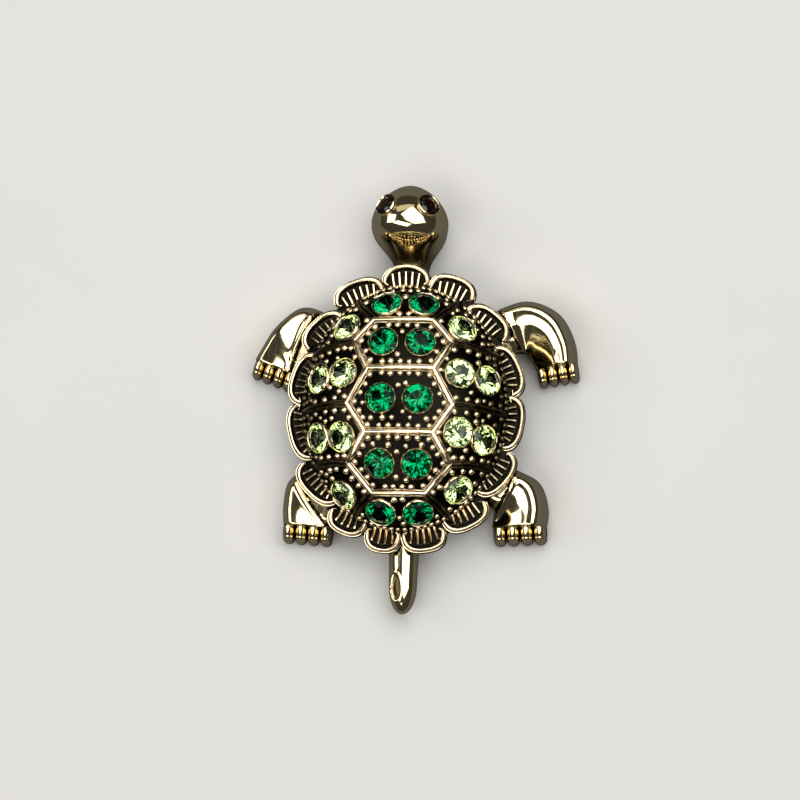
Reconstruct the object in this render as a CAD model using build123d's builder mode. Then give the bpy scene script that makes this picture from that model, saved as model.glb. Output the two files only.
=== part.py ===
from build123d import *
from collections import namedtuple
from math import cos, radians, sin, sqrt
import os

os.makedirs("parts", exist_ok=True)

# Lengths are millimetres. The model is drawn about the middle of the shell, with the head
# along +Y, the turtle's right along +X and the soles at height zero. The last lines move
# every piece so that the origin lies under the middle of the whole brooch.

# Clearances
seat_gap = 0.1
leg_gap = 0.2
stone_gap = 0.05

# Domed shell: half of an oval that is widest at dome_level
dome_half_width = 10.4
dome_half_length = 12.6
dome_height = 7.0
dome_level = 3.8
dome_wall = 1.4

# Raised lines between the scutes
ridge_width = 0.48
ridge_height = 0.35

# Scalloped rim, with the turns around the oval, in degrees, where each lobe meets the next
lobe_bounds = (79, 105, 131.5, 155, 178.5, 204, 229, 250, 270, 294, 318, 342, 366, 390, 414, 439)
rim_half_width = 12.0
rim_half_length = 14.8
rim_underside = 4.2
rim_floor_thickness = 0.7
rim_relief = 0.5
lobe_gap = 0.5
lobe_rounding = 1.3
notch_depth = 1.1
rim_wire = 0.5
rib_width = 0.26
rib_pitch = 0.88
rib_step = 0.1

# Stones: heights are shares of the stone's radius
stone_diameter = 2.8
stone_sides = 12
pair_web = 0.86
side_web = 0.3
girdle_rise = 0.15
crown_share = 0.32
pavilion_share = 0.8
girdle_share = 0.06
table_share = 0.58
culet_share = 0.12
cup_wall = 0.2
cup_rise = 0.3
cup_root = 0.6

# Belly plate of the polished casting
plate_thickness = 1.2
plate_inset = 1.5
boss_height = 0.5
boss_inset = 0.4

# Head, neck and eyes
head_reach = 22.9
head_radius = 3.88
head_shift = -0.3
head_level = 4.1
neck_radius = 1.75
eye_diameter = 2.1
eye_bezel = 0.2
eye_bezel_rise = 0.1
eye_aim = Vector(0.57, 0.37, 0.735).normalized()

# Tail with its leaf-shaped dimple
tail_reach = 20.4
tail_root_radius = 1.6
tail_radius = 1.42
tail_taper_length = 2.3
dimple_ball_radius = 2.6
dimple_depth = 0.35
dimple_side = 0.7
dimple_ahead = 2.7

# Legs and toes
right_front_reach = 16.9
left_front_reach = 16.2
right_rear_reach = 14.3
left_rear_reach = 12.5
leg_height = 5.2
toe_count = 4
toe_radius = 0.46
toe_length = 1.25
toe_knuckle_level = 1.5
toe_tip_level = 0.36
leg_edge_share = 0.1
leg_crown_share = 0.4

# Brooch pin on the back
pin_offset = 1.5
pin_radius = 0.4
pin_level = 1.3
pin_bar_length = 19.0
pin_bar_width = 2.4
pin_bar_thickness = 0.8
pin_groove = 0.3
pin_post_inset = 1.6
knuckle_radius = 0.95
knuckle_width = 2.0
catch_clearance = 0.25
catch_wall = 0.35
catch_width = 1.6

# How closely points on the surfaces follow them when the brooch is centred
surface_tolerance = 0.02

# Corners of the middle scutes on the right-hand side, from the head to the tail, as shares
# of the dome's half width and half length. The left side mirrors them.
spine_corners = [
    (0.282, 0.659),
    (0.469, 0.480),
    (0.312, 0.258),
    (0.500, -0.024),
    (0.322, -0.249),
    (0.488, -0.484),
    (0.253, -0.712),
]
crossing_corners = [2, 4]

# Ridges that run from a corner down to the rim: corner number, then points in shares
side_ridges = [
    (0, [(0.413, 0.762), (0.490, 0.860)]),
    (1, [(0.596, 0.471), (0.930, 0.405)]),
    (3, [(0.670, -0.027), (1.020, -0.048)]),
    (5, [(0.635, -0.474), (0.900, -0.484)]),
    (6, [(0.399, -0.817), (0.500, -0.925)]),
]

# Rows of dark stone pairs along the spine, as shares of the dome's half length
spine_rows = [0.792, 0.467, 0.012, -0.492, -0.848]

# Pale stones: place of the first stone in shares, and the heading in degrees from
# straight outwards along which a second one follows, or None
SideCell = namedtuple("SideCell", "across along second_heading")
right_cells = [
    SideCell(0.548, 0.601, None),
    SideCell(0.553, 0.228, -9),
    SideCell(0.556, -0.234, -12),
    SideCell(0.548, -0.664, None),
]
left_cells = [
    SideCell(0.548, 0.601, None),
    SideCell(0.553, 0.222, -9),
    SideCell(0.550, -0.282, 2),
    SideCell(0.540, -0.712, None),
]

# Sections of each leg from the root to the wrist. "out" counts from the middle line in
# shares of the leg's reach, "fore" in shares of the rim's half length, heights in shares
# of the leg's height. The first two sections are tucked under the rim, and the last ones
# reach a little under the ground so that the sole is cut flat.
Section = namedtuple("Section", "inner_out inner_fore outer_out outer_fore low high")
tucked_sections = 2
right_front_leg = [
    Section(0.473, 0.330, 0.390, 0.610, 0.42, None),
    Section(0.627, 0.412, 0.568, 0.737, 0.28, None),
    Section(0.686, 0.420, 0.722, 0.777, 0.15, 0.98),
    Section(0.722, 0.385, 0.888, 0.690, 0.08, 1.00),
    Section(0.740, 0.338, 0.979, 0.507, -0.02, 0.85),
    Section(0.754, 0.300, 1.000, 0.325, -0.03, 0.52),
]
left_front_leg = [
    Section(0.494, 0.264, 0.407, 0.581, 0.42, None),
    Section(0.642, 0.311, 0.568, 0.690, 0.28, None),
    Section(0.679, 0.318, 0.698, 0.713, 0.15, 0.98),
    Section(0.698, 0.304, 0.846, 0.581, 0.08, 1.00),
    Section(0.707, 0.284, 0.920, 0.453, -0.02, 0.85),
    Section(0.716, 0.253, 0.963, 0.361, -0.03, 0.52),
]
right_rear_leg = [
    Section(0.448, -0.608, 0.629, -0.311, 0.42, None),
    Section(0.594, -0.649, 0.783, -0.385, 0.28, None),
    Section(0.629, -0.682, 0.937, -0.466, 0.15, 0.96),
    Section(0.622, -0.730, 1.000, -0.622, -0.01, 0.93),
    Section(0.612, -0.777, 0.986, -0.770, -0.03, 0.84),
]
left_rear_leg = [
    Section(0.440, -0.622, 0.672, -0.324, 0.42, None),
    Section(0.608, -0.669, 0.832, -0.412, 0.28, None),
    Section(0.600, -0.709, 0.960, -0.493, 0.15, 0.96),
    Section(0.592, -0.757, 1.000, -0.649, -0.01, 0.93),
    Section(0.588, -0.797, 0.992, -0.791, -0.03, 0.84),
]

# Sizes that follow from the ones above
stone_radius = stone_diameter / 2
pocket_radius = stone_radius + stone_gap
cup_radius = pocket_radius + cup_wall
under_rim = rim_underside - seat_gap
plate_bottom = under_rim - plate_thickness
rim_floor_level = rim_underside + rim_floor_thickness
foot_narrowing = sqrt(1 - ((rim_floor_level - dome_level) / dome_height) ** 2)
lobe_count = len(lobe_bounds) - 1


def dome_point(across, along, lift=0.0):
    """Plane that touches the dome at a place in plan, lifted along its normal."""
    height = sqrt(1 - (across / dome_half_width) ** 2 - (along / dome_half_length) ** 2)
    normal = Vector(
        across / dome_half_width**2,
        along / dome_half_length**2,
        height / dome_height,
    )
    touch = Vector(across, along, dome_level + dome_height * height)
    return Plane(origin=touch, z_dir=normal).offset(lift)


def oval_dome(grow):
    """Closed oval of the dome, larger by grow on every side, its seam facing down."""
    with BuildPart(Plane(origin=(0, 0, 0), x_dir=(0, 0, -1), z_dir=(0, 1, 0))) as ball:
        Sphere(1)
    half_sizes = (dome_half_width + grow, dome_half_length + grow, dome_height + grow)
    return Pos(0, 0, dome_level) * scale(ball.part, by=half_sizes, about=(0, 0, 0))


def next_along(across, along, heading, pitch):
    """Place on the dome one pitch away from another, measured in a straight line."""
    step = pitch
    start = dome_point(across, along).origin
    for _ in range(6):
        place = (across + step * cos(radians(heading)), along + step * sin(radians(heading)))
        drop = start.Z - dome_point(*place).origin.Z
        step = sqrt(pitch**2 - drop**2)
    return place


def spine_places():
    """Name and place of each dark stone."""
    half_pitch = (stone_diameter + pair_web) / 2
    for row, share in enumerate(spine_rows, start=1):
        for side, sign in (("left", -1), ("right", 1)):
            yield f"dark_stone_{row}_{side}", (sign * half_pitch, share * dome_half_length)


def side_places():
    """Name and place of each pale stone, mirrored for the left side."""
    for side, sign, cells in (("left", -1, left_cells), ("right", 1, right_cells)):
        number = 0
        for cell in cells:
            place = (cell.across * dome_half_width, cell.along * dome_half_length)
            spots = [place]
            if cell.second_heading is not None:
                pitch = stone_diameter + side_web
                spots.append(next_along(*place, cell.second_heading, pitch))
            for across, along in spots:
                number += 1
                yield f"pale_stone_{number}_{side}", (sign * across, along)


def cut_stone(girdle_plane, radius):
    """Round stone with a flat table, a ring of crown facets and a ring of back facets."""
    levels = [
        (-pavilion_share, culet_share),
        (-girdle_share / 2, 1.0),
        (girdle_share / 2, 1.0),
        (crown_share, table_share),
    ]
    with BuildPart() as stone:
        for level, share in levels:
            with BuildSketch(girdle_plane.offset(level * radius)):
                RegularPolygon(radius * share, stone_sides)
        loft(ruled=True)
    return stone


def stone_pockets(girdle_planes, radius):
    """Cut the seats of stones: a cone under each girdle and a round opening above it."""
    shelf = -girdle_share * radius
    with BuildPart() as pocket:
        with BuildSketch(Plane.XZ):
            with BuildLine():
                Polyline(
                    (0, shelf - pavilion_share * radius - stone_gap),
                    (culet_share * radius + stone_gap, shelf - pavilion_share * radius - stone_gap),
                    (radius + stone_gap, shelf),
                    (radius + stone_gap, radius),
                    (0, radius),
                    close=True,
                )
            make_face()
        revolve(axis=Axis.Z)
    with Locations(*girdle_planes):
        add(pocket.part, mode=Mode.SUBTRACT)


def rim_point(degrees, inset=0.0):
    """Point on the rim's outer oval, or inside it by inset."""
    return Vector(
        (rim_half_width - inset) * cos(radians(degrees)),
        (rim_half_length - inset) * sin(radians(degrees)),
    )


def foot_point(degrees):
    """Point just clear of the oval where the dome meets the rim's floor."""
    return Vector(
        (dome_half_width * foot_narrowing + seat_gap) * cos(radians(degrees)),
        (dome_half_length * foot_narrowing + seat_gap) * sin(radians(degrees)),
    )


def lobe_frame(number):
    """Tip, outward direction and half widths at the foot and at the rim of one lobe."""
    start, end = lobe_bounds[number:number + 2]
    middle = (start + end) / 2
    tip = rim_point(middle)
    foot = foot_point(middle)
    outward = (tip - foot).normalized()
    foot_half = (foot_point(end) - foot_point(start)).length / 2
    tip_half = (rim_point(end) - rim_point(start)).length / 2
    return tip, foot, outward, foot_half - lobe_gap / 2, tip_half - lobe_gap / 2


def lobe_outline(number, inset=0.0, mode=Mode.ADD):
    """Face of one rounded lobe, or the same face drawn inside it by inset."""
    tip, foot, outward, foot_half, tip_half = lobe_frame(number)
    aside = Vector(-outward.Y, outward.X)
    shoulder = tip - outward * lobe_rounding
    crest = tip - outward * inset
    with BuildLine() as outline:
        sides = Polyline(
            shoulder + aside * (tip_half - inset),
            foot + aside * (foot_half - inset),
            foot - aside * (foot_half - inset),
            shoulder - aside * (tip_half - inset),
        )
        ThreePointArc(sides @ 1, crest, sides @ 0)
    make_face(outline.edges(), mode=mode)


def lobe_ribs(number):
    """Faces of the straight ribs inside one lobe."""
    tip, foot, outward, foot_half, tip_half = lobe_frame(number)
    inner_half = (foot_half + tip_half) / 2 - rim_wire
    count = max(1, round(2 * inner_half / rib_pitch) - 1)
    length = (tip - foot).length - 2.5 * rim_wire
    angle = Vector(1, 0).get_signed_angle(outward, Vector(0, 0, 1))
    middle = foot + outward * (length / 2)
    with Locations(Location((middle.X, middle.Y), angle)):
        with GridLocations(0, rib_pitch, 1, count):
            Rectangle(length, rib_width)


def leg(rows, reach, side):
    """Puffed leg lofted from D-shaped sections, and its row of toes; side is 1 or -1."""
    sections = []
    for number, row in enumerate(rows):
        inner = Vector(side * row.inner_out * reach, row.inner_fore * rim_half_length)
        outer = Vector(side * row.outer_out * reach, row.outer_fore * rim_half_length)
        along = (outer - inner).normalized()
        width = (outer - inner).length
        low = row.low * leg_height
        top = under_rim if number < tucked_sections else row.high * leg_height
        edge = max(low + leg_edge_share * width, top - leg_crown_share * width)
        upright = Plane(origin=inner, x_dir=along, z_dir=along.cross(Vector(0, 0, 1)))
        with BuildSketch(upright) as section:
            with BuildLine():
                sides = Polyline((0, edge), (0, low), (width, low), (width, edge))
                ThreePointArc(sides @ 1, (width / 2, top), sides @ 0)
            make_face()
        sections.append(section.sketch.face())
    loft(sections)
    heading = Vector(side * along.Y, -side * along.X)
    reach_down = heading * toe_length - Vector(0, 0, toe_knuckle_level - toe_tip_level)
    with BuildPart(mode=Mode.PRIVATE) as toe:
        with BuildSketch(Plane.XZ):
            with BuildLine():
                straight = Line((toe_radius, 0), (toe_radius, reach_down.length))
                foot_arc = RadiusArc(straight @ 1, (0, reach_down.length + toe_radius), -toe_radius)
                Line(foot_arc @ 1, (0, -toe_radius))
                RadiusArc((0, -toe_radius), straight @ 0, -toe_radius)
            make_face()
        revolve(axis=Axis.Z)
    knuckles = [
        inner + along * (width * (number + 0.5) / toe_count) + Vector(0, 0, toe_knuckle_level)
        for number in range(toe_count)
    ]
    with Locations(*[Plane(origin=knuckle, z_dir=reach_down) for knuckle in knuckles]):
        add(toe.part)


# Shell: a hollow dome with raised ridges, stone cups and a scalloped rim
dome_core = oval_dome(0)
dome_hollow = oval_dome(-dome_wall)
ridge_skin = oval_dome(ridge_height)

stone_seats = {
    name: dome_point(*place, girdle_rise)
    for name, place in [*spine_places(), *side_places()]
}


def scaled_corners(sign):
    """Corners of the middle scutes on one side."""
    return [
        Vector(sign * across * dome_half_width, along * dome_half_length)
        for across, along in spine_corners
    ]


with BuildPart() as rim:
    with BuildSketch(Plane.XY.offset(rim_underside)):
        Ellipse(rim_half_width - notch_depth, rim_half_length - notch_depth)
        for lobe in range(lobe_count):
            lobe_outline(lobe)
    extrude(amount=rim_floor_thickness)
    with BuildSketch(Plane.XY.offset(rim_floor_level)):
        for lobe in range(lobe_count):
            lobe_outline(lobe)
        for lobe in range(lobe_count):
            lobe_outline(lobe, rim_wire, mode=Mode.SUBTRACT)
    extrude(amount=rim_relief)
    with BuildSketch(Plane.XY.offset(rim_floor_level)):
        for lobe in range(lobe_count):
            lobe_ribs(lobe)
    extrude(amount=rim_relief - rib_step)

with BuildPart() as shell:
    with BuildSketch(Plane.XY.offset(rim_underside)):
        right_side = scaled_corners(1)
        left_side = scaled_corners(-1)
        with BuildLine():
            Polyline(*right_side, *reversed(left_side), close=True)
        trace(line_width=ridge_width)
        for corner in crossing_corners:
            with BuildLine():
                Line(left_side[corner], right_side[corner])
            trace(line_width=ridge_width)
        for sign, corners in ((1, right_side), (-1, left_side)):
            for corner, shares in side_ridges:
                places = [
                    Vector(sign * across * dome_half_width, along * dome_half_length)
                    for across, along in shares
                ]
                with BuildLine():
                    Polyline(corners[corner], *places)
                trace(line_width=ridge_width)
    extrude(amount=dome_level + dome_height + ridge_height)
    add(ridge_skin, mode=Mode.INTERSECT)
    add(dome_core)
    with Locations(*[seat.offset(cup_rise - girdle_rise) for seat in stone_seats.values()]):
        Cylinder(
            cup_radius,
            cup_rise + cup_root,
            align=(Align.CENTER, Align.CENTER, Align.MAX),
        )
    add(rim.part)
    add(dome_hollow, mode=Mode.SUBTRACT)
    for side in ("left", "right"):
        seats = [seat for name, seat in stone_seats.items() if name.endswith(side)]
        stone_pockets(seats, stone_radius)
    split(bisect_by=Plane.XY.offset(rim_underside), keep=Keep.TOP)
shell.part.label = "shell"

# Body: belly plate, neck, head, legs and tail in one polished casting
head_centre = Vector(head_shift, head_reach - head_radius, head_level)
eye_seats = {}
for side, sign in (("left", -1), ("right", 1)):
    aim = Vector(sign * eye_aim.X, eye_aim.Y, eye_aim.Z)
    rim_circle = sqrt(head_radius**2 - (eye_diameter / 2) ** 2)
    eye_seats[side] = Plane(origin=head_centre + aim * rim_circle, z_dir=aim)

with BuildPart() as body:
    with BuildSketch(Plane.XY.offset(plate_bottom)):
        Ellipse(rim_half_width - plate_inset, rim_half_length - plate_inset)
    extrude(amount=plate_thickness)
    leg(right_front_leg, right_front_reach, 1)
    leg(right_rear_leg, right_rear_reach, 1)
    leg(left_front_leg, left_front_reach, -1)
    leg(left_rear_leg, left_rear_reach, -1)

    # The legs rise only outside the rim, and a low boss fills the foot of the dome
    with BuildSketch(Plane.XY.offset(under_rim)):
        Ellipse(rim_half_width + leg_gap, rim_half_length + leg_gap)
    extrude(amount=leg_height, mode=Mode.SUBTRACT)
    with BuildSketch(Plane.XY.offset(under_rim)):
        Ellipse(
            dome_half_width - dome_wall - boss_inset,
            dome_half_length - dome_wall - boss_inset,
        )
    extrude(amount=seat_gap + boss_height)

    # Neck and head
    with BuildSketch(Plane.XZ.offset(-head_centre.Y)):
        with Locations((0, under_rim - neck_radius)):
            Circle(neck_radius)
    extrude(amount=head_centre.Y - dome_half_length + plate_inset)
    with Locations(head_centre):
        Sphere(head_radius)
    with Locations(*[seat.offset(eye_bezel_rise) for seat in eye_seats.values()]):
        Cylinder(
            eye_diameter / 2 + stone_gap + eye_bezel,
            eye_diameter / 2,
            align=(Align.CENTER, Align.CENTER, Align.MAX),
        )
    stone_pockets(eye_seats.values(), eye_diameter / 2)

    # Tail
    tail_level = under_rim - tail_root_radius
    with BuildSketch(Plane(origin=(0, 0, tail_level), x_dir=(1, 0, 0), z_dir=(0, 0, 1))):
        with BuildLine():
            root = dome_half_length - plate_inset
            taper = tail_reach - tail_taper_length
            tip = tail_reach
            outline = Polyline((0, -tip), (0, -root), (tail_root_radius, -root), (tail_radius, -taper))
            RadiusArc(outline @ 1, outline @ 0, tail_taper_length)
        make_face()
    revolve(axis=Axis((0, 0, tail_level), (0, 1, 0)))
    dimple_lift = dimple_ball_radius - dimple_depth + tail_radius
    dimple_up = sqrt(1 - (dimple_side / tail_radius) ** 2)
    dimple_out = dimple_side / tail_radius
    with Locations(
        (-dimple_lift * dimple_out, dimple_ahead - tail_reach, tail_level + dimple_lift * dimple_up)
    ):
        Sphere(dimple_ball_radius, mode=Mode.SUBTRACT)

    # Groove that locates the pin's bar, and flat soles
    with BuildSketch(Plane.XY.offset(plate_bottom)):
        with Locations((0, pin_offset)):
            SlotOverall(pin_bar_length + 2 * seat_gap, pin_bar_width + 2 * seat_gap)
    extrude(amount=pin_groove, mode=Mode.SUBTRACT)
    with BuildSketch(Plane.XY):
        Rectangle(4 * rim_half_length, 4 * rim_half_length)
    extrude(amount=-leg_height, mode=Mode.SUBTRACT)
body.part.label = "body"

# Pin fitting: bar, knuckle, stem and catch in one plain piece
bar_top = plate_bottom + pin_groove - seat_gap
bar_bottom = bar_top - pin_bar_thickness
knuckle_x = pin_bar_length / 2 - pin_post_inset
catch_radius = pin_radius + catch_clearance + catch_wall

with BuildPart() as pin_fitting:
    with BuildSketch(Plane.XY.offset(bar_bottom)):
        with Locations((0, pin_offset)):
            SlotOverall(pin_bar_length, pin_bar_width)
    extrude(amount=pin_bar_thickness)
    with BuildSketch(Plane.XZ.offset(-pin_offset)):
        with Locations((knuckle_x, pin_level)):
            Circle(knuckle_radius)
            Rectangle(
                2 * knuckle_radius,
                bar_bottom - pin_level,
                align=(Align.CENTER, Align.MIN),
            )
    extrude(amount=knuckle_width / 2, both=True)
    with BuildSketch(Plane.YZ.offset(-knuckle_x)):
        with Locations((pin_offset, pin_level)):
            Circle(catch_radius)
            Rectangle(catch_wall * 2, bar_bottom - pin_level, align=(Align.CENTER, Align.MIN))
            Circle(catch_radius - catch_wall, mode=Mode.SUBTRACT)
            Rectangle(
                2 * catch_radius,
                2 * pin_radius + catch_clearance,
                align=(Align.MAX, Align.CENTER),
                mode=Mode.SUBTRACT,
            )
    extrude(amount=catch_width / 2, both=True)
    with BuildSketch(Plane.YZ.offset(-knuckle_x - catch_width)):
        with Locations((pin_offset, pin_level)):
            Circle(pin_radius)
    extrude(amount=2 * knuckle_x + catch_width)
pin_fitting.part.label = "pin_fitting"

# Stones
pieces = [shell.part, body.part, pin_fitting.part]
for name, seat in stone_seats.items():
    stone = cut_stone(seat, stone_radius)
    stone.part.label = name
    pieces.append(stone.part)
for side, seat in eye_seats.items():
    eye = cut_stone(seat, eye_diameter / 2)
    eye.part.label = f"eye_{side}"
    pieces.append(eye.part)

# The origin goes under the middle of the brooch, at the level of its soles. The middle comes
# from points on the surfaces, because the boxes of lofted faces are loose.
surface_points = [point for piece in pieces for point in piece.tessellate(surface_tolerance)[0]]
widths = [point.X for point in surface_points]
lengths = [point.Y for point in surface_points]
heights = [point.Z for point in surface_points]
to_origin = Location((-(min(widths) + max(widths)) / 2, -(min(lengths) + max(lengths)) / 2, 0))
for piece in pieces:
    label = piece.label
    placed = piece.moved(to_origin)
    placed.label = label
    export_step(placed, f"parts/{label}.step")

print("shell middle at", to_origin.position)
print("size", max(widths) - min(widths), max(lengths) - min(lengths), max(heights))
print("lowest point", min(heights))
print("metal volume", round(shell.part.volume + body.part.volume, 1))
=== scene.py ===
import math

import bmesh
import bpy
import numpy as np
from mathutils import Matrix, Vector


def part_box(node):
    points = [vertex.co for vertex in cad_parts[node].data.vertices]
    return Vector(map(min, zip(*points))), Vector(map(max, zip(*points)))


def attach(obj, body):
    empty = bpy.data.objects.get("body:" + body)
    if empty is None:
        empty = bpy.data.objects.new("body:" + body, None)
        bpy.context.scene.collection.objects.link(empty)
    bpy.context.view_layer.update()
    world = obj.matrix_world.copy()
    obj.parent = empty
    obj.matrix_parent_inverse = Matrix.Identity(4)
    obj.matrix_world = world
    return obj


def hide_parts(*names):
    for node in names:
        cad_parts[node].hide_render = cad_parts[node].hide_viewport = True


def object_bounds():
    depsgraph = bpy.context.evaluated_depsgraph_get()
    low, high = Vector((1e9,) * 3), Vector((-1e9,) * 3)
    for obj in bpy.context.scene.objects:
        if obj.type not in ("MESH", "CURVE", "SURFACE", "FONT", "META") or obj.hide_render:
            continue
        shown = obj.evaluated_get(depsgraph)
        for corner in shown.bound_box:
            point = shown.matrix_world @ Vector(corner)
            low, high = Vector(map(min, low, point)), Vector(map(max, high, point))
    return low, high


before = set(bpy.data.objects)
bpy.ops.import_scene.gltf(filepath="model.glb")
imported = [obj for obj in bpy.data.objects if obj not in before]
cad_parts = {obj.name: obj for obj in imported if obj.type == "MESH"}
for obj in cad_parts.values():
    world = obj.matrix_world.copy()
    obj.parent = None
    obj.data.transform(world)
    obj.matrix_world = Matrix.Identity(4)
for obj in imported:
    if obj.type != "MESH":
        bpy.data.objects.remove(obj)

bl_info = {
    "name": "Turtle brooch",
    "version": (1, 0, 0),
    "blender": (4, 5, 0),
    "location": "3D View > Sidebar > Brooch",
    "description": "Dresses the turtle brooch with cast detail, cut stones and gold finishes",
    "category": "Object",
}

# Working coordinates are millimetres from the middle of the shell, with the soles at height
# zero. Meshes are written in metres in the row frame.
MM = 0.001
SIDES = (("left", -1), ("right", 1))

# Domed shell
DOME_HALF_WIDTH = 10.4
DOME_HALF_LENGTH = 12.6
DOME_HEIGHT = 7.0
DOME_LEVEL = 3.8
DOME_WALL = 1.4
DOME_COLUMNS, DOME_ROWS = 144, 34
DOME_CROWN = math.pi / 2 - 0.004
LEAST_RISE = 0.004
OVAL_CORNERS = 120

# Scalloped rim: the turns round the oval, in degrees, where each lobe meets the next
LOBE_BOUNDS = (79, 105, 131.5, 155, 178.5, 204, 229, 250, 270, 294, 318, 342, 366, 390, 414, 439)
LOBE_COUNT = len(LOBE_BOUNDS) - 1
RIM_HALF_WIDTH = 12.0
RIM_HALF_LENGTH = 14.8
RIM_UNDERSIDE = 4.2
RIM_FLOOR = 4.9
RIM_TOP = 5.4
LOBE_GAP = 0.42
LOBE_ROUNDING = 1.75
LOBE_ROUNDING_LOSS = 0.55
LOBE_PLATE_INSET = 0.3
HEAD_LOBE_SQUARENESS = 2.05
LOBE_SQUARENESS = 2.5
NOTCH_DEPTH = 1.1
FOOT_CLEARANCE = 0.1
FOOT_SHARE = math.sqrt(1 - ((RIM_FLOOR - DOME_LEVEL) / DOME_HEIGHT) ** 2)

# Stepped wire round each lobe: distance in from its edge, height and tone
LOBE_WIRE = [
    (0.12, RIM_UNDERSIDE + 0.04, 0.1),
    (0.02, RIM_UNDERSIDE + 0.12, 0.15),
    (0.00, RIM_TOP - 0.52, 0.2),
    (0.01, RIM_TOP - 0.36, 0.3),
    (0.05, RIM_TOP - 0.27, 0.9),
    (0.10, RIM_TOP - 0.28, 0.8),
    (0.14, RIM_TOP - 0.36, 0.2),
    (0.17, RIM_TOP - 0.32, 0.3),
    (0.19, RIM_TOP - 0.10, 0.85),
    (0.24, RIM_TOP - 0.01, 1.0),
    (0.32, RIM_TOP, 1.0),
    (0.41, RIM_TOP - 0.03, 1.0),
    (0.49, RIM_TOP - 0.12, 0.9),
    (0.53, RIM_TOP - 0.30, 0.4),
    (0.58, RIM_FLOOR + 0.02, 0.0),
    (0.64, RIM_FLOOR - 0.10, 0.0),
]

# Ribs inside the lobes
RIB_MARGIN = 0.55
RIB_ROOT = 0.2
RIB_END_ROOM = 0.95
RIB_BOW = 0.35
RIB_LEVEL = RIM_TOP - 0.40
RIB_CREST = 0.03
RIB_END_FALL = 0.10
RIB_HEIGHT = 0.84
RIB_RUBBED = (RIM_FLOOR - 0.05, RIM_FLOOR + 0.3)
FLUTE_END_ROOM = 1.15
FLUTE_BOW = 0.3
FLUTE_SPREAD = 0.42
FLUTE_POINTS = 7
FLUTE_WIRE = (0.13, 0.3)
FLUTE_RUBBED = (RIM_FLOOR, RIM_FLOOR + 0.2)
FLUTE_BRIGHTNESS = 0.3

# Painted shade on the flanks: share of the brightness that is missing far out on them, and
# where it begins and is full, as shares of the dome's half width
PAINTED_FLANK_SHADE = 0.45
PAINTED_FLANK_RANGE = (0.55, 0.95)

# Stones. The lean is in radians, and the facets' unevenness a share of the radius.
STONE_RADIUS = 1.4
PAIR_PITCH = 3.66
SIDE_PITCH = 3.1
GIRDLE_RISE = 0.15
STONE_LEAN = 0.035
FACET_UNEVENNESS = 0.045
SEAT_CLEARANCE = 0.07
SETTING_CLEARANCE = 0.11
SETTING_DEPTH = 0.86
SETTING_SINK = 0.22
SETTING_RUBBED = (0.02, 0.2)
STONE_LIFT = 0.03

# Seat that is cut for a stone: height over the girdle and share of the seat's radius
SEAT_RINGS = [(-1.4, 0.5), (-0.3, 1.0), (1.2, 1.0)]
SEAT_CORNERS = 40

# Round brilliant from table to culet: number of corners, radius and level as shares of the
# stone's radius, and turn as a share of one main facet
BRILLIANT_RINGS = [
    (8, 0.56, 0.30, 0.0),
    (8, 0.76, 0.21, 0.5),
    (16, 1.0, 0.03, 0.0),
    (16, 1.0, -0.03, 0.0),
    (8, 0.42, -0.55, 0.5),
    (8, 0.05, -0.87, 0.0),
]

# Corners of the middle scutes on the turtle's right, as shares of the dome's half sizes
SPINE_CORNERS = [
    (0.282, 0.659),
    (0.469, 0.480),
    (0.312, 0.258),
    (0.500, -0.024),
    (0.322, -0.249),
    (0.488, -0.484),
    (0.253, -0.712),
]
CROSSING_CORNERS = [2, 4]

# Ridges from a corner down to the rim: number of the corner, then places in shares
SIDE_RIDGES = [
    (0, [(0.413, 0.762), (0.490, 0.860)]),
    (1, [(0.596, 0.471), (0.930, 0.405)]),
    (3, [(0.670, -0.027), (0.990, -0.048)]),
    (5, [(0.635, -0.474), (0.890, -0.484)]),
    (6, [(0.399, -0.817), (0.490, -0.905)]),
]

# Places of the rows of dark stones. Pale stones follow, with the place of a cell's first
# one, in shares of the dome's half sizes, and the heading to its second one in degrees.
SPINE_ROWS = [0.792, 0.467, 0.012, -0.492, -0.848]
SIDE_CELLS = {
    "right": [
        (0.548, 0.601, None),
        (0.553, 0.228, -9),
        (0.556, -0.234, -12),
        (0.548, -0.664, None),
    ],
    "left": [
        (0.548, 0.601, None),
        (0.553, 0.222, -9),
        (0.550, -0.282, 2),
        (0.540, -0.712, None),
    ],
}

# Raised lines: tones at the two ends of a line that runs down to the rim, which grows
# darker towards the rim as painted shade
SIDE_RIDGE_PAINTED_SHADE = (0.62, 0.3)
RIDGE_STEP = 0.3

# Milgrain beads: room to the ridges and stones, share of the dome's foot where a row lies
BEAD_ROOM = 0.60
BEAD_STONE_ROOM = 0.24
BEAD_FLOOR = RIM_FLOOR + 0.12
BEAD_FOOT_SHARE = 0.965
BEAD_RISE = 0.07
BEAD_TRIES = 9000
BEAD_SIZE_RANGE = (0.75, 1.0)
FOOT_BEAD_SIZE = 0.9
BEAD_JITTER = 0.05
BEAD_BRIGHTNESS = 0.9
BEAD_RUBBED_SHARE = 0.75

# Paces of the two kinds of row as shares of the spacing. Then the least distance of a bead
# as a share of the spacing, and its room to the ridges.
FOOT_ROW_PACE = 0.95
RIDGE_ROW_PACE = 1.15
FOOT_ROW_ROOM = (0.85, 0.42)
RIDGE_ROW_ROOM = (1.0, BEAD_ROOM * 0.88)
SCUTE_ROOM = (1.02, BEAD_ROOM * 0.84)

# Belly plate of the polished casting
PLATE_BOTTOM = 2.9
PLATE_TOP = 4.1
PLATE_INSET = 1.5

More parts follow.
